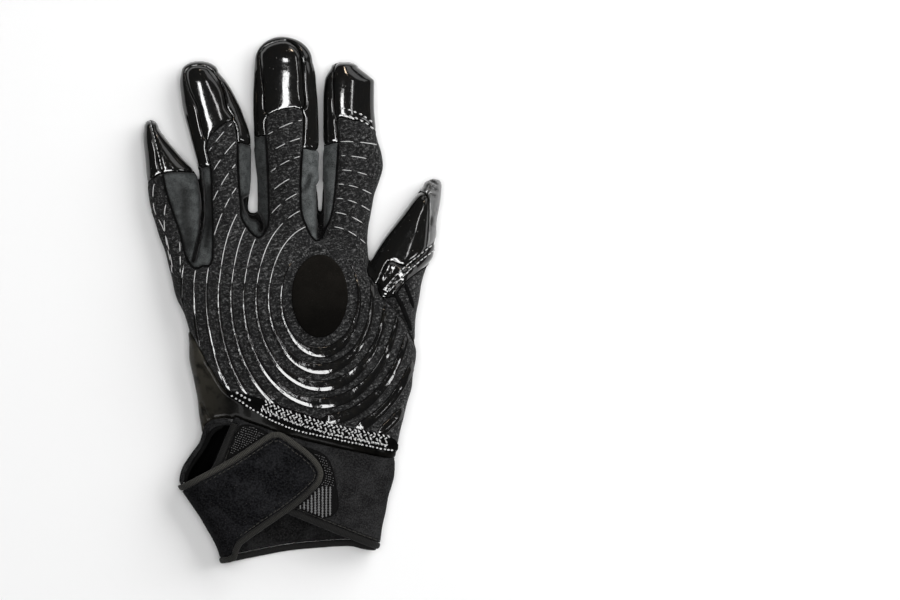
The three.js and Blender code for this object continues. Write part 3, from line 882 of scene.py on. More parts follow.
class Graph:
    """One node material in the making."""

    def __init__(self, name: str) -> None:
        """Makes an empty material."""
        self.material = bpy.data.materials.new(name)
        self.material.use_nodes = True
        self.tree = self.material.node_tree
        self.tree.nodes.clear()

    def add(self, kind: str, settings: Union[dict, None] = None, sockets: Union[dict, None] = None,
            output: Union[int, str] = 0) -> Link:
        """Adds any node.

        Args:
            kind: the node's type.
            settings: its properties, set first.
            sockets: values or links for its inputs, by name or number.
            output: which of its outputs to return.

        Returns:
            The output.
        """
        node = self.tree.nodes.new(kind)
        for name, value in (settings or {}).items():
            setattr(node, name, value)
        for name, value in (sockets or {}).items():
            if isinstance(value, Link):
                self.tree.links.new(value.socket, node.inputs[name])
            else:
                node.inputs[name].default_value = value
        return Link(self, node.outputs[output]) if node.outputs else Link(self, None)

    def math(self, operation: str, *values: Number) -> Link:
        """Adds a Math node."""
        return self.add("ShaderNodeMath", {"operation": operation}, dict(enumerate(values)))

    def mix(self, factor: Number, first: object, second: object) -> Link:
        """Mixes two colours, given as links or as grey or coloured values."""
        colours = {6: self.colour(first), 7: self.colour(second), 0: factor}
        return self.add("ShaderNodeMix", {"data_type": "RGBA"}, colours, 2)

    @staticmethod
    def colour(value: object) -> object:
        """A colour that a socket takes, from a link, a grey or three parts."""
        if isinstance(value, Link):
            return value
        return (value, value, value, 1.0) if isinstance(value, (int, float)) else (*value, 1.0)

    def place(self, stretch: tuple[float, float, float] = (1, 1, 1), turn: float = 0.0) -> Link:
        """The place on the glove in millimetres.

        Args:
            stretch: a factor for each axis, after the turn.
            turn: degrees about the upright axis.

        Returns:
            The coordinates.
        """
        spot = self.add("ShaderNodeTexCoord", output="Object")
        turned = self.add("ShaderNodeMapping", {}, {"Vector": spot, "Rotation": (0, 0, math.radians(turn))})
        size = tuple(s / MM for s in stretch)
        return self.add("ShaderNodeMapping", {"vector_type": "POINT"}, {"Vector": turned, "Scale": size})

    def noise(self, place: Link, scale: float, detail: float = 2.0, rough: float = 0.5) -> Link:
        """A noise value, with a scale in waves per millimetre."""
        return self.add("ShaderNodeTexNoise", {}, {"Vector": place, "Scale": scale, "Detail": detail,
                                                   "Roughness": rough})

    def cells(self, place: Link, scale: float, feature: str = "F1") -> Link:
        """The distance in a pattern of cells."""
        return self.add("ShaderNodeTexVoronoi", {"feature": feature}, {"Vector": place, "Scale": scale})

    def mark(self, name: str) -> Link:
        """A value that the mesh's points carry."""
        return self.add("ShaderNodeAttribute", {"attribute_name": name}, {}, "Fac")

    def parts(self, vector: Link) -> tuple[Link, Link, Link]:
        """The three parts of a vector."""
        first = self.add("ShaderNodeSeparateXYZ", {}, {"Vector": vector})
        return tuple(Link(self, s) for s in first.socket.node.outputs)

    def bump(self, height: Link, strength: float = 1.0) -> Link:
        """Raises the surface by a height in millimetres."""
        return self.add("ShaderNodeBump", {}, {"Height": height, "Distance": MM, "Strength": strength})

    def done(self, **sockets: object) -> bpy.types.Material:
        """Closes the material with its shader.

        Args:
            sockets: the shader's inputs, with their names' spaces as underscores.

        Returns:
            The material.
        """
        named = {name.replace("_", " "): value for name, value in sockets.items()}
        for name in ("Base Color", "Specular Tint", "Sheen Tint"):
            if name in named:
                named[name] = self.colour(named[name])
        shader = self.add("ShaderNodeBsdfPrincipled", {}, named)
        self.add("ShaderNodeOutputMaterial", {}, {"Surface": shader})
        return self.material


@dataclass(frozen=True)
class Finish:
    """How one kind of cloth, leather or rubber looks."""

    name: str
    slot: str

    def make(self) -> bpy.types.Material:
        """Makes the material."""
        raise NotImplementedError


@dataclass(frozen=True)
class Knit(Finish):
    """Heathered stretch knit: dark yarn with pale flecks."""

    dark: float = 0.003
    middle: float = 0.021
    pale: float = 0.19
    loop: float = 0.72
    course: float = 0.9

    def make(self) -> bpy.types.Material:
        """Makes the material."""
        g = Graph(self.name)
        spot, slanted = g.place(), g.place((0.45, 1.0, 1.0), -14)
        crossed = g.place((1.0, 0.5, 1.0), -34)
        heather = g.noise(slanted, 1.25, 3, 0.7) * 0.6 + g.noise(crossed, 1.5, 3, 0.7) * 0.4
        patch = g.noise(spot, 0.16, 2, 0.5)
        fleck = g.cells(slanted, 2.6)
        colour = g.mix(heather.above(0.42, 0.56), self.dark, self.middle)
        lint = heather.above(0.52, 0.64) * 0.6 + (1 - fleck.above(0.08, 0.3)) * 0.22
        colour = g.mix(lint, colour, self.pale)
        colour = g.mix(patch.above(0.3, 0.7) * 0.3, colour, (0.016, 0.016, 0.017))
        x, y, _ = g.parts(spot)
        lean = y + x.wave(self.loop) * 0.35
        loops = (lean.wave(self.course) * x.wave(self.loop)) * 0.10
        height = loops + heather * 0.45 + g.noise(spot, 5.0, 2, 0.6) * 0.12
        return g.done(Base_Color=colour, Roughness=0.92, Specular_IOR_Level=0.04, Sheen_Weight=0.06,
                      Sheen_Roughness=0.5, Normal=g.bump(height, 0.9))


@dataclass(frozen=True)
class Patent(Finish):
    """Black leather with a high gloss, fine creases and a little dust; marked points get painted shade."""

    tint: Colour = (0.004, 0.004, 0.0038)
    rough: float = 0.07
    crease: float = 0.016
    dust: float = 0.45
    gloss: float = 0.55
    coat: float = 0.33

    def make(self) -> bpy.types.Material:
        """Makes the material."""
        g = Graph(self.name)
        spot = g.place()
        soft = g.noise(spot, 0.22, 2, 0.5)
        fine = g.noise(spot, 1.4, 3, 0.6)
        specks = g.cells(spot, 0.42)
        mote = 1 - specks.above(0.055, 0.10)
        colour = g.mix(soft.above(0.45, 0.75), self.tint, (0.005, 0.0045, 0.0038))
        colour = g.mix(mote * self.dust, colour, (0.11, 0.10, 0.085))
        # painted shade: where the mark is set, the base is painted darker and the coat weakened
        colour = g.mix(g.mark("shade"), colour, 0.0015)
        height = soft * (self.crease * 4) + fine * (self.crease * 0.22) + mote * 0.03
        rough = fine.above(0.4, 0.75) * 0.12 + self.rough + mote * 0.3
        return g.done(Base_Color=colour, Roughness=rough, Specular_IOR_Level=self.gloss,
                      Coat_Weight=(1 - g.mark("shade")) * self.coat,
                      Coat_Roughness=0.05, Normal=g.bump(height))


@dataclass(frozen=True)
class Silicone(Finish):
    """Printed rubber with a wet gloss."""

    shade: float = 0.003
    rough: float = 0.08

    def make(self) -> bpy.types.Material:
        """Makes the material."""
        g = Graph(self.name)
        spot = g.place()
        soft, fine = g.noise(spot, 0.35, 2, 0.5), g.noise(spot, 3.0, 2, 0.5)
        colour = g.mix(soft.above(0.4, 0.8), self.shade, (0.006, 0.0055, 0.0045))
        return g.done(Base_Color=colour, Roughness=self.rough + fine * 0.05, Specular_IOR_Level=0.6,
                      Normal=g.bump(soft * 0.15 + fine * 0.01))


@dataclass(frozen=True)
class Spandex(Finish):
    """Smooth satin stretch cloth, with painted shade where its mesh is marked."""

    shade: Colour = (0.104, 0.111, 0.111)
    rib: float = 0.32

    def make(self) -> bpy.types.Material:
        """Makes the material."""
        g = Graph(self.name)
        spot = g.place()
        x, y, _ = g.parts(spot)
        weave = x.wave(self.rib) * y.wave(self.rib * 1.3)
        soft, grain = g.noise(spot, 0.3, 2, 0.5), g.noise(spot, 3.5, 3, 0.6)
        colour = g.mix(soft.above(0.35, 0.65) * 0.4 + grain.above(0.4, 0.6) * 0.6, self.shade,
                       (0.020, 0.022, 0.022))
        # painted shade: marked creases and strips are painted towards black
        colour = g.mix(g.mark("shade").above(0.15, 0.95), colour, 0.0015)
        return g.done(Base_Color=colour, Roughness=0.7, Specular_IOR_Level=0.08, Sheen_Weight=0.15,
                      Sheen_Roughness=0.35, Normal=g.bump(weave * 0.03 + soft * 0.5 + grain * 0.03))


@dataclass(frozen=True)
class Cloth(Finish):
    """A matte cloth: suede, cuff cloth or dark piping, told apart by its shade and grain."""

    shade: Colour = (0.010, 0.0098, 0.0095)
    nap: Colour = (0.020, 0.019, 0.018)
    grain: float = 2.4
    depth: float = 0.10
    lint: float = 0.35
    sheen: float = 0.02

    def make(self) -> bpy.types.Material:
        """Makes the material."""
        g = Graph(self.name)
        spot = g.place()
        fine = g.noise(spot, self.grain, 4, 0.65)
        wide = g.noise(spot, 0.12, 3, 0.55)
        fluff = 1 - g.cells(spot, 0.55).above(0.06, 0.12)
        colour = g.mix(fine.above(0.36, 0.66) * 0.7 + wide.above(0.4, 0.62) * 0.3, self.shade, self.nap)
        colour = g.mix(fluff * self.lint, colour, (0.10, 0.09, 0.08))
        # the mark paints the colour towards black: painted shade inside the cuff's slit, and a darkening
        # towards the pad's lower end
        colour = g.mix(g.mark("shade"), colour, 0.0004)
        height = fine * self.depth + wide * 0.5 + g.cells(spot, self.grain * 1.2) * (self.depth * 0.5)
        return g.done(Base_Color=colour, Roughness=0.95, Specular_IOR_Level=0.02, Sheen_Weight=self.sheen,
                      Sheen_Roughness=0.4, Normal=g.bump(height))


@dataclass(frozen=True)
class Tape(Finish):
    """Elastic edge binding with ribs across it."""

    shade: Colour = (0.007, 0.0068, 0.006)
    pale: Colour = (0.058, 0.056, 0.049)
    rib: float = 0.7

    def make(self) -> bpy.types.Material:
        """Makes the material."""
        g = Graph(self.name)
        spot = g.place()
        ribs = g.mark("along").wave(self.rib)
        fine = g.noise(spot, 2.5, 3, 0.6)
        # painted highlight: the ribs' crests are painted paler, mixed with the random grain
        colour = g.mix(ribs * 0.65 + fine.above(0.35, 0.7) * 0.35, self.shade, self.pale)
        # painted shade: marked parts of the tape are painted darker
        colour = g.mix(g.mark("shade"), colour, 0.004)
        return g.done(Base_Color=colour, Roughness=0.8, Specular_IOR_Level=0.08, Sheen_Weight=0.05,
                      Normal=g.bump(ribs * 0.11 + fine * 0.08))


@dataclass(frozen=True)
class Thread(Finish):
    """Twisted sewing thread."""

    shade: float = 0.02
    rough: float = 0.45
    gloss: float = 0.05
    twist: float = 0.35

    def make(self) -> bpy.types.Material:
        """Makes the material."""
        g = Graph(self.name)
        ply = (g.mark("along") + g.mark("across") * 0.2).wave(self.twist)
        colour = g.mix(ply, self.shade, self.shade * 2.2)
        return g.done(Base_Color=colour, Roughness=self.rough, Specular_IOR_Level=self.gloss,
                      Normal=g.bump(ply * 0.03))


@dataclass(frozen=True)
class Pebbled(Finish):
    """Palm leather with a pebbled grain."""

    shade: float = 0.010

    def make(self) -> bpy.types.Material:
        """Makes the material."""
        g = Graph(self.name)
        spot = g.place()
        pebble, soft = g.cells(spot, 1.1, "SMOOTH_F1"), g.noise(spot, 0.2, 3, 0.55)
        # darker between the pebbles and where the broad noise is high
        pebble_darkening = pebble.above(0.1, 0.6) * 0.6 + soft.above(0.4, 0.7) * 0.4
        colour = g.mix(pebble_darkening, self.shade * 1.8, self.shade)
        return g.done(Base_Color=colour, Roughness=0.45 + soft * 0.15, Specular_IOR_Level=0.4,
                      Normal=g.bump(soft * 0.3 - pebble * 0.12))


@dataclass(frozen=True)
class HookTape(Finish):
    """Woven hook tape whose plastic loops glint."""

    shade: Colour = (0.002, 0.002, 0.002)
    pale: Colour = (0.006, 0.006, 0.006)

    def make(self) -> bpy.types.Material:
        """Makes the material."""
        g = Graph(self.name)
        spot = g.place()
        x, y, _ = g.parts(spot)
        rungs = y.wave(0.8) * x.wave(0.83)
        fine = g.noise(spot, 2.2, 2, 0.6)
        colour = g.mix(rungs * 0.6 + fine.above(0.45, 0.7) * 0.4, self.shade, self.pale)
        return g.done(Base_Color=colour, Roughness=0.6, Specular_IOR_Level=0.03,
                      Normal=g.bump(rungs * 0.16 + fine * 0.12))


class Look(Enum):
    """The finishes that this glove has."""

    KNIT = Knit("stretch_knit", "knit")
    PATENT = Patent("patent_leather", "leather")
    # The pale brown tint is painted sheen, shown at the heel's lit corner and painted darker towards the
    # strip.
    YOKE = Patent("smooth_leather", "leather", tint=(0.040, 0.037, 0.030), rough=0.22, crease=0.04, dust=0.1,
                  gloss=0.012, coat=0.22)
    STRIP = Cloth("strip_cloth", "binding", shade=(0.001, 0.001, 0.001), nap=(0.003, 0.003, 0.003),
                  grain=3.0, depth=0.1, lint=0.0, sheen=0.0)
    GREY = Patent("grey_leather", "leather_grey", tint=(0.10, 0.10, 0.10), rough=0.3, crease=0.05, dust=0.2)
    SILICONE = Silicone("printed_silicone", "silicone")
    SPANDEX = Spandex("satin_spandex", "spandex")
    PIPING = Cloth("dark_piping", "binding", shade=(0.002, 0.002, 0.002), nap=(0.006, 0.006, 0.006),
                   grain=3.0, depth=0.06, lint=0.02, sheen=0.0)
    SUEDE = Cloth("pad_suede", "suede", shade=(0.004, 0.0036, 0.003), nap=(0.0095, 0.0085, 0.0072),
                  grain=3.2, depth=0.06, lint=0.12, sheen=0.0)
    CUFF = Cloth("cuff_cloth", "neoprene", shade=(0.004, 0.004, 0.0042), nap=(0.027, 0.027, 0.0275),
                 grain=1.6, depth=0.12)
    STRAP = Cloth("strap_cloth", "neoprene", shade=(0.0008, 0.0009, 0.0012), nap=(0.016, 0.0162, 0.0178),
                  grain=1.2, depth=0.14)
    TAPE = Tape("ribbed_tape", "binding")
    HEM = Tape("dark_tape", "binding", shade=(0.003, 0.003, 0.003), pale=(0.014, 0.0137, 0.013))
    THREAD = Thread("sewing_thread", "binding", shade=0.01)
    # Its pale grey is painted glint: the stitches are painted light for the highlights they catch.
    PAINTED_GLINT_THREAD = Thread("thread_painted_glints", "leather", shade=0.3, rough=0.12, gloss=0.6)
    # Its grey is painted glint on the loops; on the ribs it is partly their own silver and partly painted
    # glint.
    HOOKS = Thread("hook_loops", "hook", shade=0.08, rough=0.35, gloss=0.08)
    # Its pale grey is partly the lines' own colour and partly painted highlight along their crests.
    PRINT = Thread("pale_print_painted_highlight", "silicone", shade=0.38, rough=0.35, gloss=0.3)
    HOOK = HookTape("hook_tape", "hook")
    PALM = Pebbled("palm_leather", "palm_leather")


# The workshop, which makes meshes into pieces


@dataclass(frozen=True)
class Fold:
    """A crease pressed into the glove along a line seen from above."""

    line: Outline
    depth: float
    width: float


FOLDS = (
    Fold([(-41.8, 58), (-40.4, 49), (-40.2, 40.3), (-41.3, 29), (-44, 17.5)], 2.8, 0.9),
    Fold([(-37.4, 50), (-37.2, 36), (-38.6, 24)], 0.8, 1.8),
    Fold([(-21, 44.5), (-20, 41), (-17.6, 37.8)], 4.2, 1.7),
    Fold([(-15.2, 36.6), (-13.8, 34), (-13.6, 31.4)], 3.6, 1.3),
    Fold([(7.9, 55.4), (6.6, 51.4), (5.2, 48.4)], 1.5, 1.2),
    Fold([(12.5, 50), (12.7, 40), (12.9, 28.6)], 4.4, 1.9),
    Fold([(-48.6, 48), (-47.6, 36), (-46.4, 24)], 0.7, 2.4),
    Fold([(64.6, 54), (61.5, 49.6), (58.9, 45.2)], 0.8, 0.45),
    Fold([(62.6, 53), (63.6, 52.6), (64.8, 51.8)], 1.3, 0.5),
    Fold([(62.2, 50.2), (63.2, 49.8), (64.6, 48.9)], 1.3, 0.55),
    Fold([(61.8, 47.2), (62.8, 46.8), (64, 46)], 1.3, 0.55),
    Fold([(-40.4, -46.4), (-38.6, -51), (-36.2, -54.4)], 0.9, 0.5),
)
FLUSH_SEAMS = ([(-9.5, 82.9), (3, 85)], [(-36.5, 72.2), (-28, 79.5)], [(37, 6), (40.6, 15), (43.5, 17.3)])


def placed(name: str, data: bpy.types.ID) -> bpy.types.Object:
    """Puts an object with its data into the scene."""
    thing = bpy.data.objects.new(name, data)
    bpy.context.scene.collection.objects.link(thing)
    return thing


@dataclass
class Workshop:
    """Holds the form and the plan, cuts panels, and hands finished pieces to the frame."""

    form: Form = field(default_factory=Form)
    seam_depth: float = 0.65
    seam_width: float = 0.95
    flush: float = 0.85
    flush_width: float = 3.0
    # crease depth at which the painted shade is fully dark
    darkest: float = 2.6
    crumple: float = 0.5
    crumple_edge: float = 1.2
    crumple_right: float = 56.0
    fine_crumple: Pair = (48.0, 43.0)
    wave_count: int = 14
    wave_height: float = 0.045
    wave_lengths: Pair = (9.0, 26.0)
    calm: float = 0.7
    under_strap: float = 0.1
    pressed_heights: Pair = (3.0, 6.0)
    limits: Pair = (72.5, 122.5)
    ceiling: float = 26.5
    upper_floor: float = 1.0
    lower_floor: float = -1.5
    sewn_above: float = 2.5
    # painted shade of the seams and folds, from 0 to 1
    shade: Array = field(init=False)
    plan: Plan = field(init=False)
    surface: Surface = field(init=False)
    materials: dict[Look, bpy.types.Material] = field(default_factory=dict)

    def __post_init__(self) -> None:
        """Presses the seams and folds into the form."""
        self.plan = Plan(self.form.block)
        self.press()
        self.surface = Surface(self.form)

    def press(self) -> None:
        """Sinks the upper surface along seams and folds, makes soft cloth a little uneven, and keeps the
        creases' painted shade.
        """
        block = self.form.block
        x, y = np.meshgrid(block.axis(0), block.axis(1), indexing="ij")
        dent = self.seam_depth * np.exp(-(np.abs(self.plan.seam) / self.seam_width) ** 2)
        for line in FLUSH_SEAMS:
            far, _ = line_place(np.asarray(line), x, y)
            dent = dent * (1 - self.flush * np.exp(-(far / self.flush_width) ** 2))
        for fold in FOLDS:
            far, _ = line_place(curve(fold.line, 1.0), x, y)
            dent = dent + fold.depth * np.exp(-(far / fold.width) ** 2)
        # painted shade: the deeper a seam or fold sinks, the darker the cloth there is painted
        self.shade = np.clip(dent / self.darkest, 0, 1)
        dent = dent + self.wrinkles(x, y)
        waves = np.random.default_rng(SEED)
        glossy = np.minimum.reduce([self.plan.zones[f"tip_zone_{finger}"] for finger in FINGERS])
        soft = self.wave_height * (1 - self.calm * np.clip(0.5 - glossy / 3, 0, 1))
        for _ in range(self.wave_count):
            length = waves.uniform(*self.wave_lengths)
            turn, start = waves.uniform(0, math.pi), waves.uniform(0, 6)
            phase = (x * math.cos(turn) + y * math.sin(turn)) * 2 * math.pi / length + start
            dent = dent + soft * np.sin(phase)
        dent = dent * np.clip(self.plan.zones["strap"] / 2, self.under_strap, 1)
        high = ramp(block.axis(2), *self.pressed_heights)
        rise = (high * high * (3 - 2 * high)).astype(np.float32)
        self.form.values += dent.astype(np.float32)[:, :, None] * rise

    def wrinkles(self, x: Array, y: Array) -> Array:
        """How deep the thumb's stitched patch is crumpled.

        Args:
            x: the plan's x.
            y: the plan's y.

        Returns:
            The depths on the plan's samples.
        """
        patch = ramp(self.plan.zones["thumb_seam_patch"], 0, -self.crumple_edge) * (x < self.crumple_right)
        broad = 1.5 * np.sin(x * 0.62 + 1.1 * np.sin(y * 0.4)) * np.sin(y * 0.66 + 0.9 * np.sin(x * 0.5))
        fine = 0.35 * np.sin(x * 2.2 + y * 0.8) * np.sin(y * 2.3 - x) * ramp(x, *self.fine_crumple)
        return self.crumple * patch * (broad + fine)

    def block(self, mask: Array, low: float, high: float, step: float, pad: float = 1.5) -> Block:
        """A block round the part of the plan where a mask is below zero.

        Args:
            mask: a map on the plan.
            low: the block's floor.
            high: the block's top.
            step: the distance between samples.
            pad: how far the block runs past the mask.

        Returns:
            The block.
        """
        within = (mask < 0) & (self.form.values.min(2) < 4)
        x, y = self.form.block.axis(0)[within.any(1)], self.form.block.axis(1)[within.any(0)]
        wide, long = self.limits
        corner = (max(x[0] - pad, -wide), max(y[0] - pad, -long), low)
        return Block.around(corner, (min(x[-1] + pad, wide), min(y[-1] + pad, long), high), step)

    def layer(self, block: Block, outer: float, inner: float, edge: float) -> Array:
        """The field of a layer between two distances from the form's surface."""
        f = self.form.sample(block)
        return soft_max(f - outer, inner - f, edge)

    def cut(self, mask: Array, outer: float = 0.0, inner: float = -WALL, step: float = 0.5,
            upper: bool = True, edge: float = 0.5) -> Shell:
        """Cuts a panel from a layer of the glove.

        Args:
            mask: the panel's map on the plan, below zero inside it.
            outer: the layer's outer distance from the form's surface.
            inner: its inner distance.
            step: the size of the mesh's faces.
            upper: whether the panel stops at the palm leather's seam, and else at the floor.
            edge: how far its edges are rounded.

        Returns:
            The panel's mesh.
        """
        block = self.block(mask, self.upper_floor if upper else self.lower_floor, self.ceiling, step)
        values = self.layer(block, outer, inner, edge)
        floor = SEAM_HEIGHT + GAP / 2 if upper else FLOOR_GAP
        sides = soft_max(self.plan.sample(mask, block) + GAP / 2, floor - block.grid()[2], edge)
        return net(soft_max(values, sides, edge), block).largest(0.08)

    def panel(self, name: str, part: str, look: Look, step: float = 0.5, edge: float = 0.5) -> None:
        """Cuts a part of the plan and publishes it in place of its CAD node."""
        self.publish(name, self.cut(self.plan.cuts[part], step=step, edge=edge), look, [part])

    def material(self, look: Look) -> bpy.types.Material:
        """The material of a finish, made once."""
        if look not in self.materials:
            self.materials[look] = look.value.make()
        return self.materials[look]

    def publish(self, name: str, shell: Shell, look: Look, replaces: Iterable[str] = ()) -> bpy.types.Object:
        """Makes a mesh into a piece of the glove.

        Args:
            name: the piece's name.
            shell: its mesh in millimetres.
            look: its finish.
            replaces: the CAD nodes that it stands for.

        Returns:
            The object.
        """
        mesh = bpy.data.meshes.new(name)
        faces, sides = shell.faces, np.where(shell.faces[:, 3] < 0, 3, 4)
        mesh.vertices.add(len(shell.points))
        mesh.vertices.foreach_set("co", (shell.points * MM).astype(np.float32).ravel())
        mesh.loops.add(int(sides.sum()))
        mesh.loops.foreach_set("vertex_index", faces[faces >= 0].astype(np.int32))
        mesh.polygons.add(len(faces))
        mesh.polygons.foreach_set("loop_start", (np.cumsum(sides) - sides).astype(np.int32))
        mesh.polygons.foreach_set("use_smooth", np.ones(len(faces), bool))
        for mark, values in shell.marks.items():
            mesh.attributes.new(mark, "FLOAT", "POINT").data.foreach_set("value", values.astype(np.float32))
        mesh.update(calc_edges=True)
        mesh.validate()
        piece = placed(name, mesh)
        mesh.materials.append(self.material(look))
        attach(piece, "root")
        nodes = tuple(replaces)
        if nodes:
            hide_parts(*nodes)
        lowest = shell.points[:, 2].min()
        log.info("%s: %d faces from %.1f mm up, in %s", name, len(faces), lowest, look.value.name)
        return piece

    def runs(self, line: Array, allowed: Array, shortest: float) -> list[Array]:
        """Splits a line where a mask forbids it.

        Args:
            line: points on the plan.
            allowed: for each point, whether it may stay.
            shortest: a run shorter than this goes.

        Returns:
            The runs, as arrays of indices.
        """
        edges = np.flatnonzero(np.diff(np.r_[0, allowed.astype(int), 0]))
        found = []
        for start, end in edges.reshape(-1, 2):
            run = np.arange(start, end)
            if len(run) > 3 and np.linalg.norm(np.diff(line[run], axis=0), axis=1).sum() > shortest:
                found.append(run)
        return found

    def read(self, values: Array, points: Array) -> Array:
        """Reads a map on the plan at single places."""
        block = self.form.block
        at = np.rint((points - block.low[:2]) / block.step).astype(int)
        i, j = np.clip(at, 0, np.array(values.shape) - 1).T
        return values[i, j]

    def cord(self, line: Array, radius: float, lift: Union[float, Callable], sides: int = 8,
             spacing: float = 0.7, flat: float = 1.0, rope: float = 0.0, pitch: float = 1.6) -> Shell:
        """Lays a rolled edge or piping along a line on the surface.

        Args:
            line: points on the plan.
            radius: its radius.
            lift: how high its middle lies, or a function of the points that says so.
            sides: how many sides its section has.
            spacing: the distance between sections.
            flat: its height as a share of its width.
            rope: how much its radius swells, as a share.
            pitch: the distance between swellings.

        Returns:
            The mesh.
        """
        points = resample(line, spacing)
        centres, normals = self.surface.place(points, lift(points) if callable(lift) else lift)
        far = np.arange(len(points)) * spacing
        end = np.minimum(far, far[-1] - far)
        radii = radius * (1 + rope * np.sin(far * 2 * math.pi / pitch))
        radii = radii * np.sqrt(np.clip(end / (2 * radius) + 0.1, 0, 1))
        return tubes(centres[None], normals[None], radii[None], sides, flat)

    def stitches(self, line: Array, pitch: float, length: float, radius: float, lift: float,
                 shake: float = 0.2, slant: float = 0.0, inside: bool = False) -> Shell:
        """Sews a row of stitches along a line on the surface.

        Args:
            line: points on the plan.
            pitch: the distance from stitch to stitch.
            length: a stitch's length.
            radius: the thread's radius.
            lift: how high the middle of a stitch lies.
            shake: how unevenly the stitches lie.
            slant: how far a stitch's ends lie to either side of the line.
            inside: whether the row lies on the palm's lining.

        Returns:
            The mesh of the whole row.
        """
        fine = resample(line, 0.25)
        run = np.r_[0, np.cumsum(np.linalg.norm(np.diff(fine, axis=0), axis=1))]
        chance = np.random.default_rng(SEED + len(fine))
        starts = np.arange(0.3, max(run[-1] - length, 0.4), pitch)
        starts = starts + chance.uniform(-shake, shake, len(starts))
        share = np.linspace(0, 1, 6)
        at = starts[:, None] + share * length
        flat = np.stack([np.interp(at, run, fine[:, i]) for i in range(2)], -1)
        way = np.gradient(flat, axis=1)
        way /= np.maximum(np.linalg.norm(way, axis=2), 1e-9)[..., None]
        side = np.stack([-way[..., 1], way[..., 0]], -1)
        flat = flat + side * (slant * (share - 0.5) * 2)[None, :, None]
        flat = flat + side * chance.uniform(-shake, shake, (len(starts), 1, 1)) * 0.5
        rise = lift + radius * 1.5 * (np.sin(share * math.pi) ** 0.7 - 0.75)
        sewn = self.surface.height(flat.reshape(-1, 2)).reshape(-1, len(share)).min(1) > self.sewn_above
        starts, flat = starts[sewn], flat[sewn]
        points, normals = self.surface.place(flat.reshape(-1, 2), np.tile(rise, len(starts)))
        if inside:
            points = np.column_stack([flat.reshape(-1, 2), self.surface.height(flat.reshape(-1, 2), True)])
            points[:, 2] += np.tile(rise, len(starts))
        radii = radius * (0.55 + 0.45 * np.sin(share * math.pi) ** 0.5)
        shape = (len(starts), len(share))
        return tubes(points.reshape(*shape, 3), normals.reshape(*shape, 3), np.tile(radii, (shape[0], 1)), 6)


# Sub-assemblies


@dataclass
class Fingertips:
    """The glossy fingertips: a top panel and the gusset round it on four fingers."""

    edge: float = 0.15

    def build(self, shop: Workshop) -> None:
        """Cuts the panels and gussets."""
        for finger in FINGERS:
            for part in ("panel", "gusset"):
                shop.panel(f"fingertip_{part}_{finger}", f"tip_{part}_{finger}", Look.PATENT, edge=self.edge)


@dataclass
class Fourchettes:
    """The satin strips between the fingers, with their dark piped edges; the strips carry painted shade."""

    piping: float = 0.42
    # painted shade added to each whole strip, by how it is turned to the light
    painted_shades: tuple[float, float, float] = (0.46, 0.52, 0.05)

    def build(self, shop: Workshop) -> None:
        """Cuts the strips and lays the piping."""
        for name, shade in zip(FOURCHETTES, self.painted_shades):
            strip = shop.cut(shop.plan.cuts[name])
            # painted shade: the creases' shade plus a darker painted shade on whole strips turned away from
            # the light
            strip.marks["shade"] = shop.read(shop.shade, strip.points[:, :2]) + shade
            shop.publish(f"{name}_strip", strip, Look.SPANDEX, [name])
            line = refine([*OUTLINES[name][3:], OUTLINES[name][0]], closed=False)
            shop.publish(f"{name}_piping", shop.cord(line, self.piping, 0.25), Look.PIPING)


@dataclass
class Back:
    """The knit back and the knit at the thumb's base."""

    step: float = 0.6

    def build(self, shop: Workshop) -> None:
        """Cuts both."""
        shop.panel("back_knit", "back_panel", Look.KNIT, self.step)
        shop.panel("thumb_base_knit", "thumb_base_panel", Look.KNIT)


@dataclass
class ThumbCover:
    """The thumb's leather: its top, the paler gusset at its side and the stitched patch below."""

    edge: float = 0.15

    def build(self, shop: Workshop) -> None:
        """Cuts the three panels."""
        shop.panel("thumb_top", "thumb_panel", Look.PATENT, edge=self.edge)
        shop.panel("thumb_side", "thumb_gusset", Look.GREY)
        shop.panel("thumb_patch", "thumb_seam_patch", Look.PATENT)


@dataclass
class Palm:
    """The palm leather, whose edges turn up all round."""

    step: float = 1.0
    low: Point = (-72, -90, -3)
    high: Point = (72, 122, 6)
    fold: float = 0.6
    edge: float = 0.5

    def build(self, shop: Workshop) -> None:
        """Cuts the palm."""
        zones = shop.plan.zones
        mask = np.maximum(-zones["cuff_palm"], -zones["past_palm"])
        block = Block.around(self.low, self.high, self.step)
        values = shop.layer(block, 0.0, -WALL, self.fold)
        top = block.grid()[2] - (SEAM_HEIGHT - GAP / 2)
        sides = soft_max(shop.plan.sample(mask, block) + GAP / 2, top, self.edge)
        values = soft_max(values, sides, self.edge)
        shop.publish("palm_leather", net(values, block).largest(0.1), Look.PALM, ["palm_panel"])


@dataclass
class Heel:
    """The smooth leather over the heel of the hand, with painted sheen and shade, and the stitched strip over
    its seam.
    """

    strip_height: float = 1.2
    strip_step: float = 0.35
    lit_corner: Pair = (-41, -35)
    shade_lean: float = 0.15
    shade_reach: float = 16
    shade_most: float = 0.92

    def build(self, shop: Workshop) -> None:
        """Cuts both."""
        leather = shop.cut(shop.plan.cuts["wrist_yoke"])
        x, y = leather.points[:, :2].T
        # painted sheen and shade: the pale tint stays at the lit corner and is painted darker, with less
        # coat, towards the strip
        inward = x - self.lit_corner[0] - self.shade_lean * (y - self.lit_corner[1])
        leather.marks["shade"] = np.clip(inward / self.shade_reach, 0, self.shade_most)
        shop.publish("heel_leather", leather, Look.YOKE, ["wrist_yoke"])
        strip = shop.cut(shop.plan.zones["wrist_seam_strip"], self.strip_height, 0.0, self.strip_step)
        shop.publish("wrist_strip", strip, Look.STRIP, ["wrist_seam_strip"])


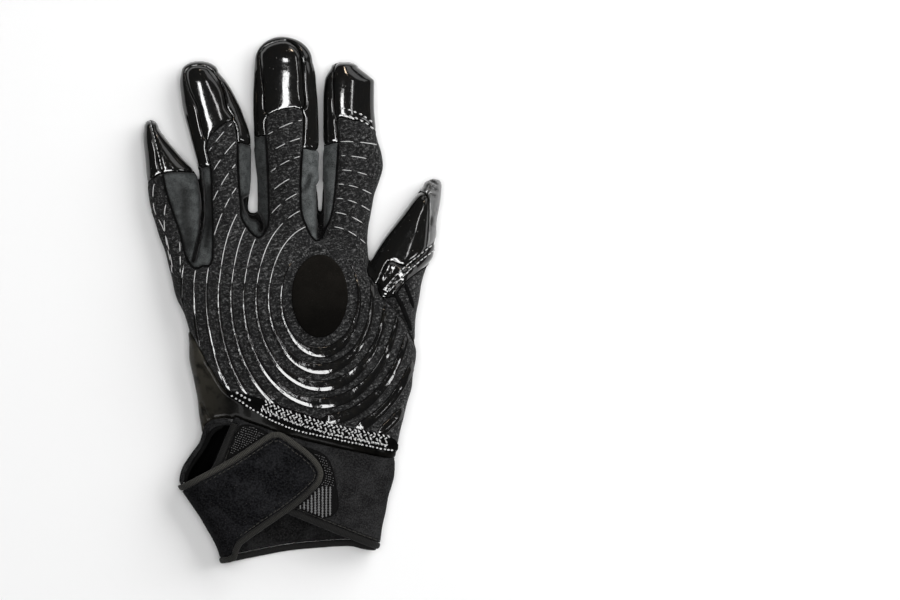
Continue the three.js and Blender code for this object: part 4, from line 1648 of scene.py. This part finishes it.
@dataclass
class Ridges:
    """The oval pad and the rubber ridges that ring it."""

    count: int = 9
    centre: Pair = (12.9, -0.45)
    centre_step: Pair = (0.1, 0.15)
    half: Pair = (12.3, 17.75)
    half_step: Pair = (5.7, 7.75)
    inner_shift: Pair = (-0.2, 1.75)
    inner_less: Pair = (1.3, 2.75)
    sink: float = 0.25
    section: tuple[Pair, ...] = (
        (-1.0, 0.0), (-0.95, 0.3), (-0.86, 0.58), (-0.74, 0.66), (-0.3, 0.85), (0.0, 0.97), (0.1, 1.0),
        (0.2, 0.99), (0.45, 0.92), (0.72, 0.84), (0.84, 0.78), (0.93, 0.5), (1.0, 0.0),
    )
    first_angle: float = 96
    angle_step: float = 0.8
    finer_step: float = 0.04
    swell: float = 0.22
    swell_angle: float = -50
    knit_margin: float = 0.2
    strip_margin: float = 0.7
    lowest: float = 8.0
    steepest: float = 0.5
    shortest: float = 5.0
    fade: Pair = (4, 18)
    fade_width: float = 0.45
    fade_height: float = 0.5
    height: float = 0.5
    height_by_width: float = 0.36
    tallest: float = 1.25
    least_height: float = 0.05
    taper: float = 3.6
    flat_widths: Pair = (1.0, 2.2)
    facing: float = 0.15
    facing_down: float = 0.09
    inner_fall: float = 0.25
    pad: tuple[float, float, float, float] = (12.6, 1.6, 12.8, 18.8)
    pad_height: float = 1.15
    pad_sink: float = 0.1
    pad_edge: float = 0.9
    pad_shade: tuple[float, float, float] = (10, -26, 0.6)
    fill: float = 0.3

    def build(self, shop: Workshop) -> None:
        """Lays the pad and every ridge."""
        x, y, wide, long = self.pad
        turn = np.linspace(0, 2 * math.pi, 73)[:-1]
        oval = np.stack([x + wide * np.cos(turn), y + long * np.sin(turn)], 1)
        pad = shop.cut(shop.plan.distance(oval), self.pad_height, -self.pad_sink, edge=self.pad_edge)
        # the pad is painted darker towards its lower end
        pad.marks["shade"] = ramp(pad.points[:, 1], *self.pad_shade)
        shop.publish("oval_suede_pad", pad, Look.SUEDE, ["oval_pad"])
        for k in range(1, self.count + 1):
            names = sorted(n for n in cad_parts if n.startswith(f"ridge_{k}"))
            shop.publish(f"oval_ridge_{k}", Shell.joined(self.ridge(shop, k)), Look.SILICONE, names)

    def allowed(self, shop: Workshop, points: Array) -> Array:
        """Where a ridge may lie: on the back's knit, below the fingers and above the seam strip."""
        plan = shop.plan
        _, up = shop.surface.place(points)
        return ((shop.read(plan.cuts["back_panel"], points) < -self.knit_margin)
                & (shop.read(plan.zones["wrist_seam_strip"], points) > -self.strip_margin)
                & (shop.surface.height(points) > self.lowest) & (up[:, 2] > self.steepest))

    def ridge(self, shop: Workshop, k: int) -> list[Shell]:
        """Builds one ridge.

        Args:
            shop: where it is laid.
            k: its number, counted from the pad outwards.

        Returns:
            A mesh for each run of it.
        """
        angle = np.arange(self.first_angle, self.first_angle + 360, self.angle_step - self.finer_step * k)
        angle = np.radians(angle)
        ring = np.stack([np.cos(angle), np.sin(angle)], 1)
        centre = np.add(self.centre, np.multiply(self.centre_step, k))
        half = np.add(self.half, np.multiply(self.half_step, k))
        outer = centre + ring * half
        inner = centre + self.inner_shift + ring * (half - self.inner_less)
        normal = ring / half
        normal /= np.linalg.norm(normal, axis=1)[:, None]
        width = np.abs(((outer - inner) * normal).sum(1)) / 2
        width = width * (1 + self.swell * np.maximum(np.cos(angle - math.radians(self.swell_angle)), 0))
        middle = (outer + inner) / 2
        fade = ramp(middle[:, 1], *self.fade)
        parts = []
        for run in shop.runs(middle, self.allowed(shop, middle) & (fade < 1), self.shortest):
            parts.append(self.profile(shop, middle[run], normal[run], width[run], fade[run]))
        return parts

    def profile(self, shop: Workshop, middle: Array, normal: Array, width: Array, fade: Array) -> Shell:
        """Sweeps a ridge's rounded section along one run.

        Args:
            shop: where it is laid.
            middle: the ridge's middle line on the plan.
            normal: outwards across the line.
            width: half of the ridge's width.
            fade: how far the ridge has thinned out, from 0 to 1.

        Returns:
            The mesh.
        """
        step = np.linalg.norm(np.diff(middle, axis=0), axis=1)
        run = np.r_[0, np.cumsum(step)]
        taper = np.clip(np.minimum(run, run[-1] - run) / self.taper, 0.02, 1) ** 0.6
        width = width * taper * (1 - self.fade_width * fade)
        tall = np.minimum(self.height + self.height_by_width * width, self.tallest)
        tall = tall * taper * (1 - self.fade_height * fade) + self.least_height
        u, rise = np.array(self.section).T
        _, up = shop.surface.place(middle)
        aim = self.facing + self.facing_down * np.clip(-normal[:, 1], 0, 1)
        fall = np.clip(aim - (up[:, :2] * normal).sum(1), -0.04, 0.3) * width / tall
        broad = np.interp(width, self.flat_widths, (0.0, 1.0))[:, None]
        roof = np.where(u < 0, 1 + self.inner_fall * u, 1 - fall[:, None] * u)
        roof = np.where(np.abs(u) > 0.99, 0, np.where(np.abs(u) > 0.9, roof - 0.3, roof))
        rise = rise * broad + roof * (1 - broad)
        plan_points = middle[:, None] + normal[:, None] * (u * width[:, None])[..., None]
        lift = rise * tall[:, None] - self.sink * (np.abs(u) > 0.99)
        points, _ = shop.surface.place(plan_points.reshape(-1, 2), lift.ravel())
        return Shell(points, swept_faces(1, len(middle), len(u), flipped=True))


@dataclass
class Cuff:
    """The wrap of cuff cloth with its lip, and the bound hems of its two layers."""

    hem: float = 3.1
    overlap: float = 1.4
    binding_extra: float = 0.45
    step: float = 0.6
    low: Point = (-58, -121, -1.5)
    high: Point = (58, -50, 21)
    roll_radius: float = 1.15
    roll: tuple[Point, ...] = (
        (-26.4, -55.6, 15.0), (-30.4, -54.9, 14.8), (-34.0, -54.6, 14.0), (-37.0, -56.0, 12.4),
        (-38.7, -58.6, 11.0), (-39.6, -61.8, 9.9), (-41.0, -65.2, 8.9), (-43.4, -68.4, 8.9),
        (-45.5, -71.4, 8.8), (-47.5, -74.4, 8.5), (-48.8, -77.4, 8.7), (-49.4, -80.4, 9.2),
        (-49.5, -83.0, 10.2),
    )
    # A dark cord laid inside the lip, where the slit lies in shadow: painted shade over the cloth's glint
    # there.
    shade_roll_radius: float = 0.95
    shade_roll: tuple[Point, ...] = (
        (-30.6, -56.6, 14.6), (-33.7, -57.8, 13.9), (-36.2, -60.2, 13.1), (-37.8, -63.1, 11.7),
        (-39.6, -66.2, 9.9), (-41.8, -69.6, 9.4), (-44.2, -73.0, 9.0), (-46.4, -76.4, 8.7),
        (-47.6, -79.8, 8.9), (-47.9, -82.4, 9.4),
    )
    hem_roll: float = 0.42
    hem_roll_inset: float = 4.8
    hem_roll_lowest: float = 6.0
    hem_roll_right: float = 41.0
    # outline of the slit, inside which the cloth gets painted shade
    slit: Outline = ((-28.6, -56.2), (-34, -57.2), (-37.8, -59.8), (-41.2, -66.3), (-44.8, -72.3),
                     (-50.6, -84), (-50, -90), (-36, -84), (-35.5, -74), (-27.5, -56))

    def build(self, shop: Workshop) -> None:
        """Cuts the wrap and both hems."""
        plan = shop.plan
        block = Block.around(self.low, self.high, self.step)
        z = block.grid()[2]
        shell = shop.layer(block, 0.0, -WALL, 0.5)
        above, below = SEAM_HEIGHT + GAP / 2 - z, z - (SEAM_HEIGHT - GAP / 2)
        parts = ("cuff_palm", "cuff_back", "cuff_lip", "cuff_fold")
        maps = {name: plan.sample(plan.zones[name], block) for name in parts}
        spans = ((-2, self.hem + 0.1), (0, self.hem))
        hems = {name: [plan.sample(plan.strip(line, *span), block) for span in spans]
                for name, line in (("palm", PALM_HEM), ("back", BACK_HEM))}
        palm = np.maximum(np.maximum(below, maps["cuff_palm"] + 0.1), -hems["palm"][0])
        back = np.maximum(np.maximum(above, maps["cuff_back"] + 0.1), -hems["back"][0])
        near = np.abs(z - SEAM_HEIGHT) - self.overlap
        turns = np.maximum(np.maximum(near, maps["cuff_palm"] + 0.1),
                           np.minimum(maps["cuff_fold"], maps["cuff_lip"] + 0.1))
        lip = np.maximum(above, maps["cuff_lip"] + 0.1)
        body = np.minimum(np.minimum(palm, back), np.minimum(turns, lip))
        cloth = net(soft_max(shell, body, 0.4), block).largest(0.05)
        # painted shade: the cloth inside the slit, which lies in shadow, is painted nearly black
        deep = polygon_distance(np.asarray(self.slit), *cloth.points[:, :2].T)
        cloth.marks["shade"] = np.clip(0.4 - deep, 0, 1)
        shop.publish("cuff_cloth", cloth, Look.CUFF, ["cuff_wrap"])
        shop.publish("cuff_lip_roll", self.rolled(self.roll, self.roll_radius), Look.CUFF)
        # painted shade: a dark cord inside the slit that hides the cloth's glint
        shop.publish("cuff_slit_shade_roll", self.rolled(self.shade_roll, self.shade_roll_radius), Look.PIPING)
        line = beside(curve(BACK_HEM), self.hem_roll_inset)
        shown = (shop.surface.height(line) > self.hem_roll_lowest) & (line[:, 0] < self.hem_roll_right)
        rolls = [shop.cord(line[run], self.hem_roll, 0.12) for run in shop.runs(line, shown, 4)]
        shop.publish("back_hem_roll", Shell.joined(rolls), Look.CUFF)
        tape = shop.layer(block, self.binding_extra, -WALL - self.binding_extra, 1.2)
        tape = np.maximum(tape, FLOOR_GAP - z)
        for name, side, line in (("palm", below, PALM_HEM), ("back", above, BACK_HEM)):
            shell = net(soft_max(tape, soft_max(side, hems[name][1], 1.0), 1.0), block).largest(0.05)
            _, shell.marks["along"] = line_place(curve(line, 1.0), *shell.points[:, :2].T)
            shop.publish(f"{name}_hem_tape", shell, Look.HEM, [f"{name}_hem_binding"])

    @staticmethod
    def rolled(route: tuple[Point, ...], radius: float) -> Shell:
        """A rolled edge of cloth that follows a route in space."""
        line = curve(route)
        far = np.minimum(np.arange(len(line)), np.arange(len(line))[::-1]) * LINE_STEP
        radii = radius * np.sqrt(np.clip(far / 2 + 0.1, 0, 1))
        up = np.tile((0.0, 0.0, 1.0), (len(line), 1))
        return tubes(line[None], up[None], radii[None], 10)


@dataclass
class Strap:
    """The closing strap, its ribbed binding and the hook tape under it."""

    width: float = 3.1
    low: float = 1.4
    thick: float = 2.2
    extra: float = 0.45
    tape_shade: tuple[float, float, float] = (-79, -91, 0.6)
    hook_corner: Pair = (-30, -56)
    lean: float = math.radians(-19)
    hook_rows: Pair = (-34, 8)
    row_length: float = 62
    pitch: float = 1.05
    loop_length: float = 0.5
    loop_radius: float = 0.16
    loop_lift: float = 1.12
    rib_pitch: float = 1.65
    rib_radius: float = 0.42
    rib_lift: float = 1.1
    ribs_top: float = -83.5
    ribs_left: float = 1.6
    ribs_wide: float = 16
    ribs_long: float = 20
    shortest: float = 1.5

    def build(self, shop: Workshop) -> None:
        """Cuts the three pieces and sets the loops."""
        mask = shop.plan.zones["strap"]
        panel = shop.cut(mask + self.width - 0.3, self.low + self.thick, self.low, 0.5, upper=False, edge=0.8)
        shop.publish("strap_cloth", panel, Look.STRAP, ["strap_panel"])
        ring = np.maximum(mask, -(mask + self.width - 0.1))
        tape = shop.cut(ring, self.low + self.thick + self.extra, self.low, 0.4, upper=False, edge=1.2)
        _, tape.marks["along"] = line_place(curve(OUTLINES["strap"][1:14], 1.0), *tape.points[:, :2].T)
        # painted shade: the tape is painted darker towards its lower end, turned away from the light
        tape.marks["shade"] = ramp(tape.points[:, 1], *self.tape_shade)
        shop.publish("strap_tape", tape, Look.TAPE, ["strap_binding"])
        patch = shop.cut(shop.plan.zones["hook_patch"], 1.1, 0.1, 0.5)
        shop.publish("hook_tape_patch", patch, Look.HOOK, ["hook_patch"])
        self.hooks(shop)

    def hooks(self, shop: Workshop) -> None:
        """Sets the tape's plastic loops in rows, with bare ribs at its lower end."""
        patch, strap = shop.plan.zones["hook_patch"], shop.plan.zones["strap"]
        way = np.array([math.cos(self.lean), math.sin(self.lean)])
        across = np.array([-way[1], way[0]])
        run = np.arange(0, self.row_length, 0.25)
        loops, ribs = [], []
        for far in np.arange(*self.hook_rows, self.pitch):
            line = np.array(self.hook_corner) + way * run[:, None] + across * far
            seen = (shop.read(patch, line) < -0.9) & (shop.read(strap, line) > 0.4)
            seen &= (line[:, 1] > self.ribs_top) | (line[:, 0] < self.ribs_left)
            for part in shop.runs(line, seen, self.shortest):
                loops.append(shop.stitches(line[part], self.pitch, self.loop_length, self.loop_radius,
                                           self.loop_lift))
        down = np.linspace(self.ribs_top, self.ribs_top - self.ribs_long, 80)
        for x in np.arange(self.ribs_left + 0.6, self.ribs_left + self.ribs_wide, self.rib_pitch):
            line = np.column_stack([np.full(len(down), x), down])
            seen = (shop.read(patch, line) < -0.5) & (shop.read(strap, line) > 0.3)
            for part in shop.runs(line, seen, self.shortest):
                ribs.append(shop.cord(line[part], self.rib_radius, self.rib_lift, spacing=0.25, flat=0.5,
                                      rope=0.4, pitch=1.2))
        shop.publish("hook_tape_loops", Shell.joined(loops), Look.HOOKS)
        shop.publish("hook_tape_ribs", Shell.joined(ribs), Look.HOOKS)


@dataclass(frozen=True)
class Row:
    """One row of stitches: its line seen from above, its thread and how it is sewn."""

    name: str
    line: Outline
    pitch: float
    length: float
    radius: float
    lift: float
    side: float = 0.0
    look: Look = Look.PAINTED_GLINT_THREAD
    inside: bool = False


INDEX_UPPER: Outline = [(22, 85.9), (26.2, 84.8), (31.5, 82.5), (36.2, 79.2)]
INDEX_LOWER: Outline = [(22.5, 82.8), (28.4, 81.5), (33.3, 78.9), (36.8, 76)]
THUMB_SEAM: Outline = [(63.4, 23.5), (55.5, 17.2), (47, 9.4), (41.6, 3)]
LITTLE_SEAM: Outline = [(-63.6, 79), (-60.6, 67.8), (-58, 57.4)]
HEEL_UPPER: Outline = [(-24.8, -41.1), (-21, -43.4), (-16.6, -45.9)]
HEEL_LOWER: Outline = [(-27.3, -43.3), (-20, -47.6), (-12, -52)]
STRIP_LOW: Outline = [(-13.4, -51.6), (-1.2, -57.4), (15, -61.5), (37.5, -66.4), (45.4, -67.6)]
STRIP_MIDDLE: Outline = [(-13.4, -47.2), (-6, -50.4), (3, -53.7), (19, -58.6), (43, -63.6)]
STRAP_EDGE: Outline = OUTLINES["strap"][1:13]
ROWS = (
    Row("index_upper", INDEX_UPPER, 2.7, 1.3, 0.42, 0.3),
    Row("index_lower", INDEX_LOWER, 2.7, 1.5, 0.42, 0.3),
    Row("thumb_upper", THUMB_SEAM, 2.2, 1.6, 0.26, 0.2, 1.2),
    Row("thumb_lower", THUMB_SEAM, 2.2, 1.6, 0.26, 0.2, -1.2),
    Row("little_seam", LITTLE_SEAM, 1.8, 1.3, 0.2, 0.15),
    Row("heel_upper", HEEL_UPPER, 2.1, 0.9, 0.5, 1.4),
    Row("heel_lower", HEEL_LOWER, 1.9, 0.8, 0.46, 1.1),
    Row("strip_beads", STRIP_LOW, 1.6, 0.8, 0.42, 1.3, -0.1),
    Row("strap_lockstitch", STRAP_EDGE, 2.2, 2.0, 0.24, 3.6, 4.0, look=Look.TAPE),
    Row("strap_tape_edge", STRAP_EDGE, 1.4, 1.1, 0.15, 4.1, 2.6, look=Look.THREAD),
    Row("back_hem_stitch", BACK_HEM, 2.4, 2.0, 0.24, 0.15, 3.9, look=Look.TAPE),
    Row("palm_hem_stitch", PALM_HEM, 2.2, 1.5, 0.2, 0.12, 3.8, Look.THREAD, True),
)


@dataclass
class Needlework:
    """Every row of stitches, and the zigzag of the wrist strip."""

    net_rows: tuple[float, ...] = (-2.3, -1.15, 0.0, 1.15, 2.3)
    net_pitch: float = 2.1
    net_length: float = 1.1
    net_radius: float = 0.38
    net_lift: float = 1.3
    net_shake: float = 0.5
    net_slant: float = 0.5

    def build(self, shop: Workshop) -> None:
        """Sews all of it."""
        for row in ROWS:
            line = beside(curve(row.line), row.side)
            shop.publish(f"stitches_{row.name}", shop.stitches(
                line, row.pitch, row.length, row.radius, row.lift, inside=row.inside), row.look)
        middle, parts = curve(STRIP_MIDDLE), []
        for i, far in enumerate(self.net_rows):
            line = beside(middle, far)[i % 2 * 2:]
            parts.append(shop.stitches(line, self.net_pitch, self.net_length, self.net_radius, self.net_lift,
                                       self.net_shake, self.net_slant if i % 2 else -self.net_slant))
        shop.publish("wrist_strip_zigzag", Shell.joined(parts), Look.PAINTED_GLINT_THREAD)


@dataclass
class PrintedLines:
    """The thin printed lines that carry the ovals on over the fingers, and the stripes by the thumb; the
    lines' pale colour is partly painted highlight.
    """

    ovals: range = range(2, 13)
    arcs: int = 7
    radius: float = 0.18
    lowest: float = 6.0
    margin: float = 0.6
    shortest: float = 1.6
    worn: float = -0.75
    whole: tuple[float, float, float] = (-44, 9, 34)
    low_lift: float = 0.06
    crest_lift: float = 0.72
    crest: Pair = (17, 7)
    narrow: Pair = (30, 15)
    oval_left: float = -45
    oval_right: float = 9
    oval_low: float = 7
    oval_top: float = 14
    arc_left: float = 14.0
    arc_right: float = 38.5
    arc_top: float = 70.8
    arc_pitch: float = 6.35
    stripe: float = 1.0
    side_lines: tuple[Outline, ...] = (
        ((-53, 12), (-57, 30), (-61.4, 39), (-62.3, 45), (-62, 51), (-59.6, 56.4)),
        ((-53.4, 12), (-56, 24), (-57.2, 33), (-57, 40), (-55.6, 46)),
        ((-49.8, 12), (-50.2, 23), (-50.6, 31)),
    )
    stripes: tuple[Outline, ...] = (
        ((46, 3), (48.4, -1), (51, -7), (53.6, -14)),
        ((50.8, 7), (52.8, 1.6), (54.6, -3.6)),
    )

    def build(self, shop: Workshop) -> None:
        """Lays the lines and the stripes."""
        lines = [*self.oval_lines(), *self.arc_lines(), *(curve(line) for line in self.side_lines)]
        parts = []
        chance = np.random.default_rng(SEED)
        for line in lines:
            far = np.arange(len(line)) * LINE_STEP
            kept = np.sin(far * chance.uniform(0.5, 1.1) + chance.uniform(0, 6)) > self.worn
            left, right, top = self.whole
            kept |= (line[:, 1] < top) & (line[:, 0] > left) & (line[:, 0] < right)
            kept &= shop.read(shop.plan.cuts["back_panel"], line) < -self.margin
            kept &= shop.surface.height(line) > self.lowest
            parts += [shop.cord(line[run], self.radius, self.lift, sides=5)
                      for run in shop.runs(line, kept, self.shortest)]
        shop.publish("printed_lines", Shell.joined(parts), Look.PRINT)
        stripes = [shop.cord(curve(line), self.stripe, 0.05, flat=0.35) for line in self.stripes]
        shop.publish("thumb_base_stripes", Shell.joined(stripes), Look.PIPING)

    def lift(self, points: Array) -> Array:
        """How high the lines lie: on the ridges' thin ends they climb the crest."""
        return self.low_lift + self.crest_lift * ramp(points[:, 1], *self.crest)

    def oval_lines(self) -> list[Array]:
        """The ovals' upper left parts, past the rubber ridges."""
        ridges = Ridges()
        turn = np.radians(np.arange(ridges.first_angle, ridges.first_angle + 90, 0.3))
        lines = []
        for k in self.ovals:
            half = np.add(ridges.half, np.multiply(ridges.half_step, k))
            line = np.add(ridges.centre, np.stack([np.cos(turn), np.sin(turn)], 1) * half)
            line = line + np.add(np.multiply(ridges.centre_step, k), np.multiply(ridges.inner_shift, 0.5))
            line[:, 0] += 0.5 * ridges.inner_less[0] * ramp(line[:, 1], *self.narrow)
            x, y = line.T
            inner = (x > self.oval_left) & (x < self.oval_right)
            outer = (x <= self.oval_left) & (y < self.oval_top)
            for kept in (inner & (y > self.oval_low), outer & (y > self.oval_low)):
                if kept.sum() > 8:
                    lines.append(resample(line[kept], LINE_STEP))
        return lines

    def arc_lines(self) -> list[Array]:
        """The shallow arcs over the index finger."""
        lines = []
        for i in range(self.arcs):
            x = np.arange(self.arc_left, self.arc_right - 0.9 * i, 0.4)
            bend = 0.006 + 0.004 * i
            y = self.arc_top - self.arc_pitch * i - bend * (x - 23 + i) ** 2
            lines.append(resample(np.stack([x, y], 1), LINE_STEP))
        return lines


@dataclass
class Welt:
    """The rolled seam that joins the palm leather to the back all round."""

    radius: float = 0.5
    inset: float = 0.25
    step: float = 0.55
    low: Point = (-72, -70, SEAM_HEIGHT - 1.5)
    high: Point = (72, 122, SEAM_HEIGHT + 1.5)

    def build(self, shop: Workshop) -> None:
        """Rolls it along the form's outline at the seam's height."""
        block = Block.around(self.low, self.high, self.step)
        f = shop.form.sample(block)
        ring = np.hypot(f + self.inset, block.grid()[2] - SEAM_HEIGHT) - self.radius
        zones = shop.plan.zones
        cuff = np.minimum(zones["cuff_palm"], np.minimum(zones["cuff_back"], zones["cuff_lip"]))
        mask = 0.3 - shop.plan.sample(np.minimum(cuff, zones["past_palm"]), block)
        shop.publish("side_welt", net(np.maximum(ring, mask), block).largest(0.02), Look.PIPING)


@dataclass
class Studio:
    """The white floor, the soft lights and the camera straight above."""

    view_width: float = 405.0
    view_centre: Pair = (70.8, -0.2)
    lens: float = 250.0
    sensor: float = 36.0
    world: float = 0.06
    floor_side: float = 3.0
    floor_drop: float = 0.0001

    def build(self) -> None:
        """Sets all of it up."""
        self.floor()
        self.lights()
        self.camera()

    def floor(self) -> None:
        """Lays the floor."""
        mesh = bpy.data.meshes.new("floor")
        corners = [(x * self.floor_side, y * self.floor_side, -self.floor_drop)
                   for x, y in ((-1, -1), (1, -1), (1, 1), (-1, 1))]
        mesh.from_pydata(corners, [], [(0, 1, 2, 3)])
        floor = placed("floor", mesh)
        g = Graph("white_floor")
        mesh.materials.append(g.done(Base_Color=0.86, Roughness=0.9, Specular_IOR_Level=0.1))

    def lamp(self, name: str, at: Point, size: Pair, glow: float, colour: Colour = (1, 1, 1),
             matte: bool = True, gloss: bool = True, level: bool = False) -> None:
        """Hangs one soft rectangular light.

        Args:
            name: its name.
            at: its place in metres.
            size: its width and height in metres.
            glow: how bright its face is.
            colour: its colour.
            matte: whether it lights matte surfaces.
            gloss: whether glossy ones mirror it.
            level: whether it faces straight down instead of at the glove.
        """
        data = bpy.data.lights.new(name, "AREA")
        data.shape, data.size, data.size_y, data.color = "RECTANGLE", *size, colour
        data.energy = glow * math.pi * size[0] * size[1]
        lamp = placed(name, data)
        lamp.location = at
        lamp.visible_diffuse, lamp.visible_glossy = matte, gloss
        if not level:
            lamp.rotation_euler = (-Vector(at)).to_track_quat("-Z", "Y").to_euler()

    def lights(self) -> None:
        """Hangs the lights."""
        world = bpy.data.worlds.new("studio")
        bpy.context.scene.world = world
        world.use_nodes = True
        background = world.node_tree.nodes["Background"]
        background.inputs[0].default_value = (1, 1, 1, 1)
        background.inputs[1].default_value = self.world
        self.lamp("overhead", (0.0, 0.0, 2.2), (1.6, 1.6), 4.2, gloss=False, level=True)
        self.lamp("key", (1.15, 0.84, 0.82), (1.8, 1.4), 4.6, gloss=False)
        self.lamp("sky", (0.7, 1.1, 0.9), (1.7, 0.8), 1.2, matte=False)
        self.lamp("strip", (-0.43, -0.14, 1.5), (0.23, 1.0), 20, matte=False, level=True)
        self.lamp("bar", (0.24, 0.44, 1.5), (0.09, 0.36), 10, matte=False, level=True)
        self.lamp("rim", (0.95, -0.3, 1.0), (0.16, 0.5), 14, matte=False)
        self.lamp("window", (-0.52, -1.1, 1.5), (1.3, 0.95), 18, matte=False, level=True)
        self.lamp("spot", (-0.03, 0.84, 1.0), (0.11, 0.11), 26, (1.0, 0.8, 0.6), matte=False)

    def camera(self) -> None:
        """Sets the camera straight above the photograph's middle."""
        data = bpy.data.cameras.new("camera")
        data.lens, data.sensor_width, data.clip_end = self.lens, self.sensor, 20
        camera = placed("camera", data)
        distance = self.view_width * MM * self.lens / self.sensor
        camera.location = (self.view_centre[0] * MM, self.view_centre[1] * MM, distance)
        bpy.context.scene.camera = camera


def main() -> None:
    """Builds and dresses the glove, sub-assembly by sub-assembly."""
    logging.basicConfig(level=logging.INFO, format="%(message)s")
    Studio().build()
    bpy.context.scene.view_settings.view_transform = "Standard"
    shop = Workshop()
    assemblies = (Palm(), Back(), Fingertips(), Fourchettes(), ThumbCover(), Heel(), Ridges(), Cuff(),
                  Strap(), Needlework(), PrintedLines(), Welt())
    for assembly in assemblies:
        assembly.build(shop)


if __name__ == "__main__":
    main()
